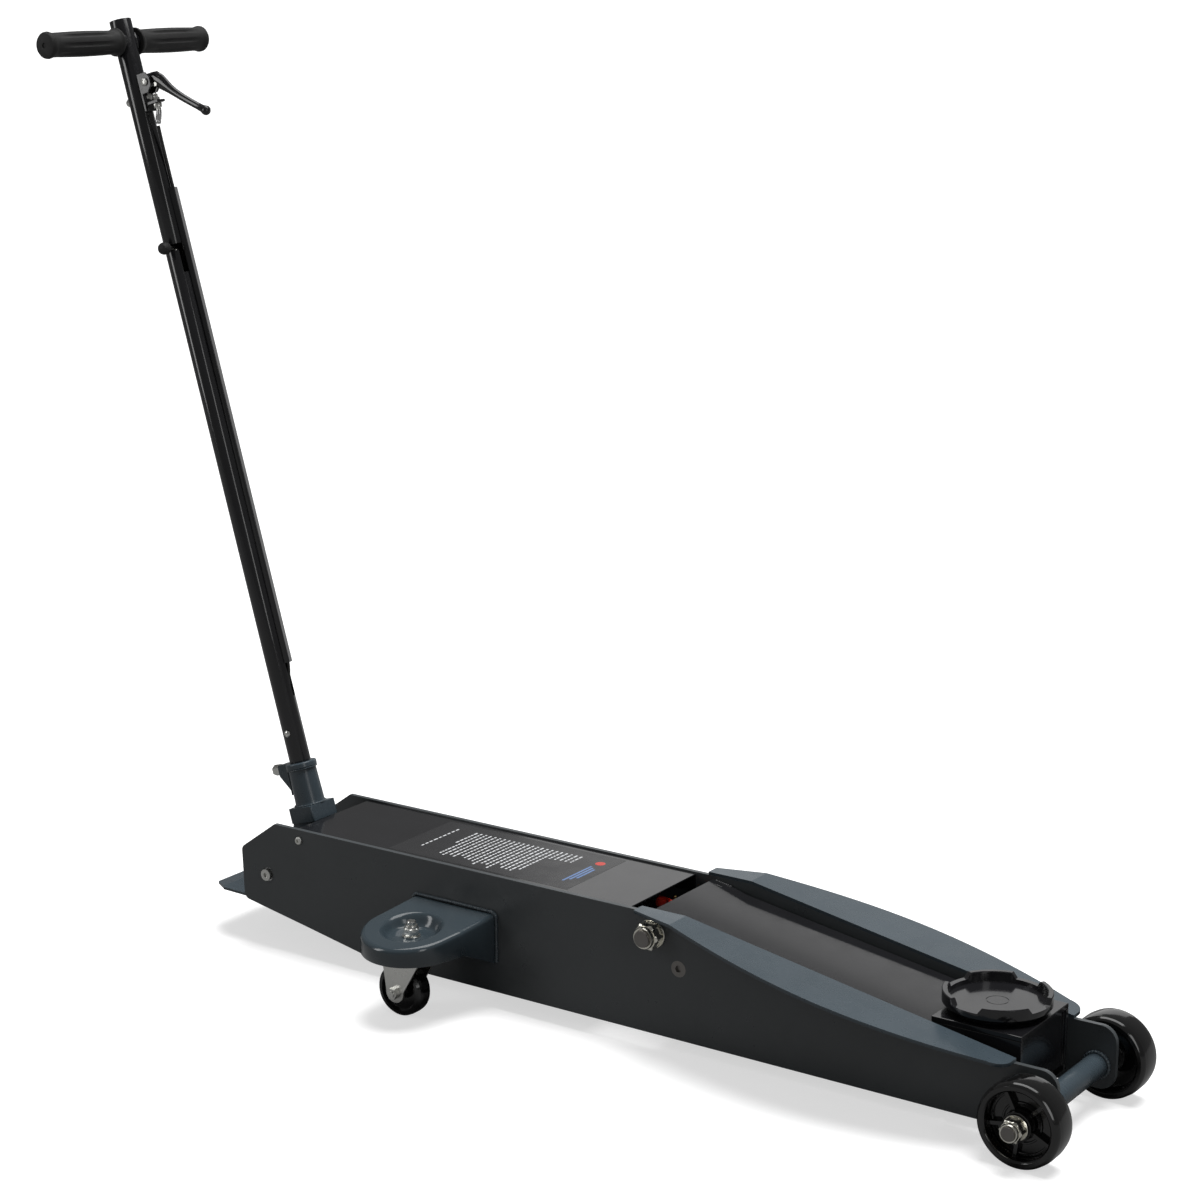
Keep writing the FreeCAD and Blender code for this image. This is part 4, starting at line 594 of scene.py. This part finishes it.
def side_welds(side_name, sign):
    bead("axle_weld_" + side_name, circle(at(0, sign * 71.6, AXLE_Z), ACROSS, 15.0), 2.6,
         "chassis", "weld", True, 4.0)
    y = sign * 80.4
    bead("wing_weld_" + side_name,
         spots([(-853, y, 66), (-853.5, y, 122), (-850, y, 125.5), (-790, y, 125.8), (-731, y, 125.5),
                (-726, y, 121.5), (-725.6, y, 62)]), 2.3, "chassis", "weld", False, 3.2)
    y = sign * 80.6
    bead("flange_weld_" + side_name, spots([(-508, y, 170.6), (-457, y, 170.6), (-34, y, 97.6)]), 2.0,
         "chassis", "weld")
    y = sign * 71.4
    bead("arm_weld_" + side_name,
         spots([(-506, y, 166.4), (-494, y * 0.995, 165.0), (-482, y * 0.985, 163.2)]), 2.6,
         "lift_arm", "weld_black", False, 3.4)
    bead("boss_weld_" + side_name, circle(at(PIVOT.x, sign * 60.0, PIVOT.z), ACROSS, 18.4), 1.8,
         "lift_arm", "weld_black", True)
    y = sign * 8.6
    bead("lug_weld_" + side_name, [on_handle(15.5, -19.2, y), on_handle(54.0, -18.6, y)], 1.5,
         "handle", "weld")
    y = sign * 53.0
    bead("carrier_weld_" + side_name, spots([(-138, y, 114.0), (-34, y, 114.0)]), 1.6,
         "carrier", "weld_black")


for sign, side_name in SIDES:
    side_welds(side_name, sign)
bead("socket_weld", circle(on_handle(0.6, 0), UP, 20.0), 1.9, "handle", "weld", True, 3.4)
bead("collar_weld", circle(on_handle(48.6, 0), UP, 19.4), 1.2, "handle", "weld", True)


# ---- wing brackets: pressed sheet with rounded edges ----------------------------------------
# The outline is an arc round the caster's axis, then runs to two points on the plate.
WING_R = 62.0
WING_REAR, WING_FRONT = -51.0, 73.0
WING_STEPS = 144
SHEET = 4.0
# The top slopes down from the plate. The skirt is level out to SKIRT_END, and deepest at the plate.
WING_TOP_Z, WING_SLOPE = 124.0, math.tan(math.radians(7.4))
SKIRT_DEPTH, SKIRT_END, SKIRT_LOW_Z = 22.0, 137.0, 59.0


def wing_edge(turn):
    """Distance from the caster's axis to the bracket's outline, with a rounded front corner."""
    dx, dy = math.cos(turn), math.sin(turn)
    reach = WING_R
    if dy < 0.0:
        to_plate = CASTER.y - PLATE_Y
        reach = to_plate / -dy
        if not WING_REAR <= dx * reach <= WING_FRONT:
            edge, start = (WING_FRONT, WING_R) if dx > 0 else (WING_REAR, -WING_R)
            slope = (edge - start) / to_plate
            reach = start / (dx + slope * dy)
    turned = (turn + math.pi) % (2 * math.pi) - math.pi
    corner, meet, end = math.radians(-17), math.radians(14), math.radians(80)
    if corner < turned < meet:
        a = Vector((65.6, -20.0))
        b = Vector((57.6, 14.4))
        d = b - a
        reach = (a.x * d.y - a.y * d.x) / (dx * d.y - dy * d.x)
    elif meet <= turned < end:
        share = (turned - meet) / (end - meet)
        reach = 59.4 + 2.6 * share * share * (3 - 2 * share)
    return reach


def wing_top(y):
    return WING_TOP_Z - WING_SLOPE * (y - PLATE_Y)


def wing_low(y):
    """The bracket's lower edge: level round the nose, then down to the plate."""
    level = wing_top(CASTER.y + WING_R) - SKIRT_DEPTH
    if y > SKIRT_END:
        return level
    return level + 2.0 - (SKIRT_END - y) * (level + 2.0 - SKIRT_LOW_Z) / (SKIRT_END - PLATE_Y)


def pressing(rise, drop=0.0):
    """The height of the round pressing at a share of its depth."""
    return lambda y: PRESSING_Z + (wing_top(y) - PRESSING_Z) * rise - drop


def wing_skin(side_name, sign):
    bm = bmesh.new()
    rings = []

    def ring(inset, height, radius=None):
        """A ring that follows the outline, or a circle that stays inside it."""
        verts = []
        for j in range(WING_STEPS):
            turn = 2 * math.pi * j / WING_STEPS
            edge = wing_edge(turn) - inset
            r = edge if radius is None else min(radius, edge)
            x = CASTER.x + math.cos(turn) * r
            y = CASTER.y + math.sin(turn) * r
            verts.append(bm.verts.new(at(x, sign * y, height(y))))
        rings.append(verts)

    for radius, rise in ((6.2, 0.0), (20.0, 0.0), (26.0, 0.0), (28.5, 0.03), (30.5, 0.14), (32.5, 0.36),
                         (34.5, 0.62), (36.5, 0.83), (38.5, 0.95), (41.0, 1.0)):
        ring(0.0, pressing(rise), radius)
    ring(10.0, wing_top, 43.0)
    ring(8.0, wing_top)
    bend_r = 6.0
    for i in range(7):
        bend = math.pi / 2 * i / 6
        ring(bend_r * (1 - math.sin(bend)), lambda y, k=bend: wing_top(y) - bend_r * (1 - math.cos(k)))
    ring(0.0, lambda y: wing_low(y) + 1.0)
    ring(0.6, wing_low)
    ring(SHEET - 0.6, wing_low)
    ring(SHEET, lambda y: wing_low(y) + 1.0)
    ring(SHEET, lambda y: wing_top(y) - 7.0)
    ring(7.0, lambda y: wing_top(y) - SHEET)
    for radius, rise in ((43.0, 1.0), (38.5, 0.8), (34.5, 0.3), (30.0, 0.02), (6.2, 0.0)):
        ring(9.0, pressing(rise, SHEET - 0.1), radius)
    for a, b in zip(rings, rings[1:] + rings[:1]):
        bridge(bm, a, b)
    # the brackets take the darker copy of the chassis paint, a painted shade
    made = piece("wing_skin_" + side_name, bm, "chassis", "bracket_painted_shade")
    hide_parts("wing_bracket_" + side_name)


def kingpin_set(side_name, sign):
    """Washer, nut, thread end and the ball race under the bracket."""
    def on_axis(z):
        return at(CASTER.x, sign * CASTER.y, z)

    bm = bmesh.new()
    washer(bm, on_axis(PRESSING_Z), UPRIGHT, 11.5, 2.2, 6.1)
    chamfered_nut(bm, on_axis(PRESSING_Z + 2.2), UPRIGHT, 18.0, 9.5, 6.1, 3.2)
    lathe(bm, on_axis(104.0), UPRIGHT, [(0, 0), (5.9, 0), (5.9, 17.2), (5.0, 18.4), (0, 18.4)], 40)
    made = piece("kingpin_nut_" + side_name, bm, "chassis", "zinc")
    bm = bmesh.new()
    lathe(bm, on_axis(94.6), UPRIGHT, [(6.2, 0), (19.0, 0), (20.0, 0.8), (20.0, 2.6), (18.0, 3.9),
                                       (6.2, 3.9)], 64)
    lathe(bm, on_axis(82.4), UPRIGHT, [(0, 0), (9.4, 0), (11.0, 1.4), (11.0, 4.4), (6.0, 5.2),
                                       (6.0, 20.0)], 48)
    race = piece("caster_race_" + side_name, bm, "chassis", "zinc")
    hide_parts("caster_kingpins")
    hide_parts("caster_kingpins")


for sign, side_name in SIDES:
    wing_skin(side_name, sign)
    kingpin_set(side_name, sign)


# ---- handle: lever, wire, adjuster and small screws -----------------------------------------
# Along the lever: its place up and in front of the handle, then half its height and half its width.
LEVER_PATH = [(954.0, 25.3, 6.4, 6.3), (957.5, 30.0, 7.0, 5.6), (956.0, 36.5, 9.0, 5.0),
              (950.0, 43.0, 9.6, 4.7), (943.5, 49.5, 8.0, 4.6), (937.0, 56.0, 6.2, 4.5),
              (930.0, 63.5, 5.3, 4.4), (922.0, 73.0, 4.8, 4.3), (913.0, 84.5, 4.6, 4.2),
              (904.5, 96.0, 4.5, 4.2), (899.5, 102.6, 4.8, 4.6),
              (897.2, 105.7, 5.9, 5.8), (895.8, 107.8, 6.3, 6.3), (894.3, 109.8, 5.6, 5.6),
              (893.0, 111.6, 3.4, 3.4), (892.5, 112.3, 0.8, 0.8)]


def lever_skin():
    """Cast lever: an oval section that thins from the boss to the ball at its end."""
    bm = bmesh.new()
    rings = []
    count = 28
    for i, (s, n, half_high, half_wide) in enumerate(LEVER_PATH):
        s0, n0 = LEVER_PATH[max(0, i - 1)][:2]
        s1, n1 = LEVER_PATH[min(len(LEVER_PATH) - 1, i + 1)][:2]
        along = Vector((s1 - s0, n1 - n0)).normalized()
        square = Vector((-along.y, along.x))
        ring = []
        for j in range(count):
            turn = 2 * math.pi * j / count
            rise = half_high * math.cos(turn)
            spot = on_handle(s + square.x * rise, n + square.y * rise, half_wide * math.sin(turn))
            ring.append(bm.verts.new(spot))
        rings.append(ring)
    for a, b in zip(rings, rings[1:]):
        bridge(bm, a, b)
    bm.faces.new(rings[0])
    bm.faces.new(rings[-1])
    lathe(bm, on_handle(LEVER_S, LEVER_N, -6.5), ACROSS,
          [(3.1, 0), (6.9, 0), (7.5, 0.6), (7.5, 12.4), (6.9, 13.0), (3.1, 13.0), (3.1, 0)], 40)
    made = piece("lever_skin", bm, "release_lever", "gloss_black")
    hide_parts("release_lever")
    bm = bmesh.new()
    lathe(bm, on_handle(947.7, 38.1, -5.6), ACROSS, [(0, 0), (2.6, 0), (3.0, 0.4), (3.0, 10.8), (2.6, 11.2),
                                                     (0, 11.2)], 28)
    piece("cable_nipple", bm, "release_lever", "zinc")


def lever_screws():
    for sign, side_name in SIDES:
        bm = bmesh.new()
        lathe(bm, on_handle(LEVER_S, LEVER_N, sign * 9.5), ACROSS * sign,
              [(0, 0), (5.0, 0), (5.0, 1.6), (4.2, 2.6), (2.6, 3.0), (2.4, 2.0), (0, 2.0)], 40)
        made = piece("lever_screw_" + side_name, bm, "handle", "zinc")
        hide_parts("bracket_bolts")
    bm = bmesh.new()
    lathe(bm, on_handle(BRACKET_BOLT_S, 17.0), FRONT,
          [(0, 0), (5.0, 0), (5.0, 1.4), (4.0, 2.6), (2.0, 3.0), (0, 3.0)], 40)
    chamfered_nut(bm, on_handle(BRACKET_BOLT_S, -13.9), -FRONT, 10.0, 4.5, 3.05, 1.8)
    lathe(bm, on_handle(BRACKET_BOLT_S, -14.0), -FRONT,
          [(0, 0), (2.9, 0), (2.9, 7.2), (2.2, 8.0), (0, 8.0)], 28)
    made = piece("bracket_screw", bm, "handle", "zinc")
    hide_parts("bracket_bolts")


def stop_screw():
    """The small screw low on the tube's right side."""
    bm = bmesh.new()
    lathe(bm, on_handle(97.5, 2.0, -13.6), -ACROSS,
          [(0, 0), (4.6, 0), (4.6, 1.2), (3.6, 2.4), (1.8, 2.9), (1.6, 2.0), (0, 2.0)], 40)
    piece("stop_screw", bm, "handle", "zinc")


def knurl(turn, offset):
    return 1.0 - (0.045 * (0.5 + 0.5 * math.cos(24 * turn)) if 5.0 < offset < 10.2 else 0.0)


def adjuster():
    """Lock nut, knurled ring, threaded barrel and the sleeve that takes the cable's end."""
    bm = bmesh.new()
    lathe(bm, on_handle(915.0, ADJUSTER_N), UP,
          [(0, 0), (3.3, 0), (3.3, 4.5), (5.2, 4.6), (5.6, 5.1), (5.6, 10.1), (5.2, 10.5), (3.3, 10.6),
           (3.3, 12.0), (3.2, 12.4), (2.9, 12.8), (3.2, 13.2), (2.9, 13.6), (3.2, 14.0), (3.2, 19.0),
           (2.9, 19.4), (3.2, 19.8), (2.9, 20.2), (3.2, 20.6), (3.2, 21.2), (2.6, 22.0), (0, 22.0)],
          72, knurl)
    chamfered_nut(bm, on_handle(928.5, ADJUSTER_N), UP, 8.0, 4.0, 3.2, 0.0)
    made = piece("adjuster_skin", bm, "handle", "zinc")
    bm = bmesh.new()
    top, low = on_handle(916.0, ADJUSTER_N), on_handle(900.0, 22.4)
    lathe(bm, top, low - top,
          [(0, -1.5), (3.2, -0.5), (3.6, 1.0), (3.8, 5.0), (3.8, 11.0), (3.3, 12.0), (3.3, 13.0), (3.6, 13.6),
           (3.6, 16.0), (2.9, 17.1), (2.6, 17.3)], 40)
    sleeve = piece("cable_sleeve", bm, "handle", "steel")
    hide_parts("cable_adjuster")
    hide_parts("cable_adjuster")


def inner_wire():
    """The bare wire from the adjuster to the nipple in the lever."""
    bm = bmesh.new()
    wire = spaced([on_handle(936.0, ADJUSTER_N), on_handle(940.0, 31.5), on_handle(944.5, 35.6),
                   on_handle(947.4, 38.0)], 1.2 * MM)
    sweep(bm, wire, [0.75 * MM] * len(wire), 10)
    piece("inner_wire", bm, "handle", "steel")


lever_skin()
lever_screws()
stop_screw()
adjuster()
inner_wire()


# ---- the label on the cover: plain bars stand in for the print -------------------------------
LABEL_LOW, LABEL_TOP, PRINT_Z = 169.9, 170.12, 170.16
FIRST_LINE, LAST_LINE, LINE_PITCH, LINE_WIDTH = -849.0, -679.0, 7.4, 2.4


def flat_patch(bm, x0, x1, y0, y1):
    bm.faces.new([bm.verts.new(at(x, y, PRINT_Z)) for x, y in ((x0, y0), (x1, y0), (x1, y1), (x0, y1))])


def label_sheet():
    bm = bmesh.new()
    middle_of = at((-905 - 631.5) / 2, 0, (LABEL_LOW + LABEL_TOP) / 2)
    size = Vector((905 - 631.5, 128, LABEL_TOP - LABEL_LOW)) * MM
    bmesh.ops.create_cube(bm, size=1.0, matrix=Matrix.Translation(middle_of) @ Matrix.Diagonal((*size, 1.0)))
    piece("label_sheet", bm, "chassis", "label")


def label_lines():
    """Rows of short bars with ragged ends, and one row apart from them."""
    bm = bmesh.new()
    step = 0
    x = FIRST_LINE
    while x < LAST_LINE:
        end = -45.0 + 16.0 * noise.noise(Vector((x * 0.31, 2.0, 0.0))) * 1.2
        if x < -845.0 or x > -716.0:
            end = 20.0 * (x - FIRST_LINE) / (LAST_LINE - FIRST_LINE)
        y = 45.0
        while y > end + 2.0:
            step += 1
            run = 3.0 + 6.0 * abs(noise.noise(Vector((step * 0.73, x * 0.17, 5.0)))) * 1.6
            stop = max(end, y - run)
            flat_patch(bm, x, x + LINE_WIDTH, stop, y)
            y = stop - 1.9
        x += LINE_PITCH
    y = 44.0
    while y > -36.0:
        step += 1
        run = 5.0 + 5.0 * abs(noise.noise(Vector((step * 0.6, 1.0, 9.0))))
        flat_patch(bm, -878, -875.8, y - run, y)
        y -= run + 3.0
    piece("label_lines", bm, "chassis", "print_white")


def label_mark():
    """Three plain stripes and a plain dot."""
    bm = bmesh.new()
    for i in range(3):
        flat_patch(bm, -656.5 + 5.0 * i, -653.5 + 5.0 * i, -40 + 8 * i, 22 - 4 * i)
    piece("label_stripes", bm, "chassis", "print_blue")
    bm = bmesh.new()
    points = circle(at(-651.5, 36.0, PRINT_Z), UPRIGHT, 6.5, 36)
    bm.faces.new([bm.verts.new(p) for p in points])
    piece("label_dot", bm, "chassis", "print_red")


label_sheet()
label_lines()
label_mark()


# ---- filler cap under the cover's front edge --------------------------------------------------
def fluted_cap(turn, offset):
    return 1.0 - (0.05 * (0.5 + 0.5 * math.cos(14 * turn)) if 0.5 < offset < 7 else 0.0)


def filler_cap():
    """The cap with its strap and the ring on the strap's end."""
    x, y = -556, 28
    bm = bmesh.new()
    lathe(bm, at(x, y, 139.0), UPRIGHT, [(0, 0), (7.2, 0), (7.6, 0.8), (7.6, 6.5), (7.0, 8.4), (5.0, 9.4),
                                         (0, 9.8)], 48, fluted_cap)
    strap = [at(x + 4 + 2.4 * i, y, 145.0 + 3.0 * math.sin(math.pi * i / 5)) for i in range(6)]
    sweep(bm, strap, [1.9 * MM] * len(strap), 12)
    ring = circle(at(x + 14.5, y, 145.4), Vector((0.3, 0, 1)), 3.2, 28)
    sweep(bm, ring, [1.6 * MM] * len(ring), 10, True)
    made = piece("cap_skin", bm, "chassis", "red_plastic")
    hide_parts("filler_cap")


filler_cap()
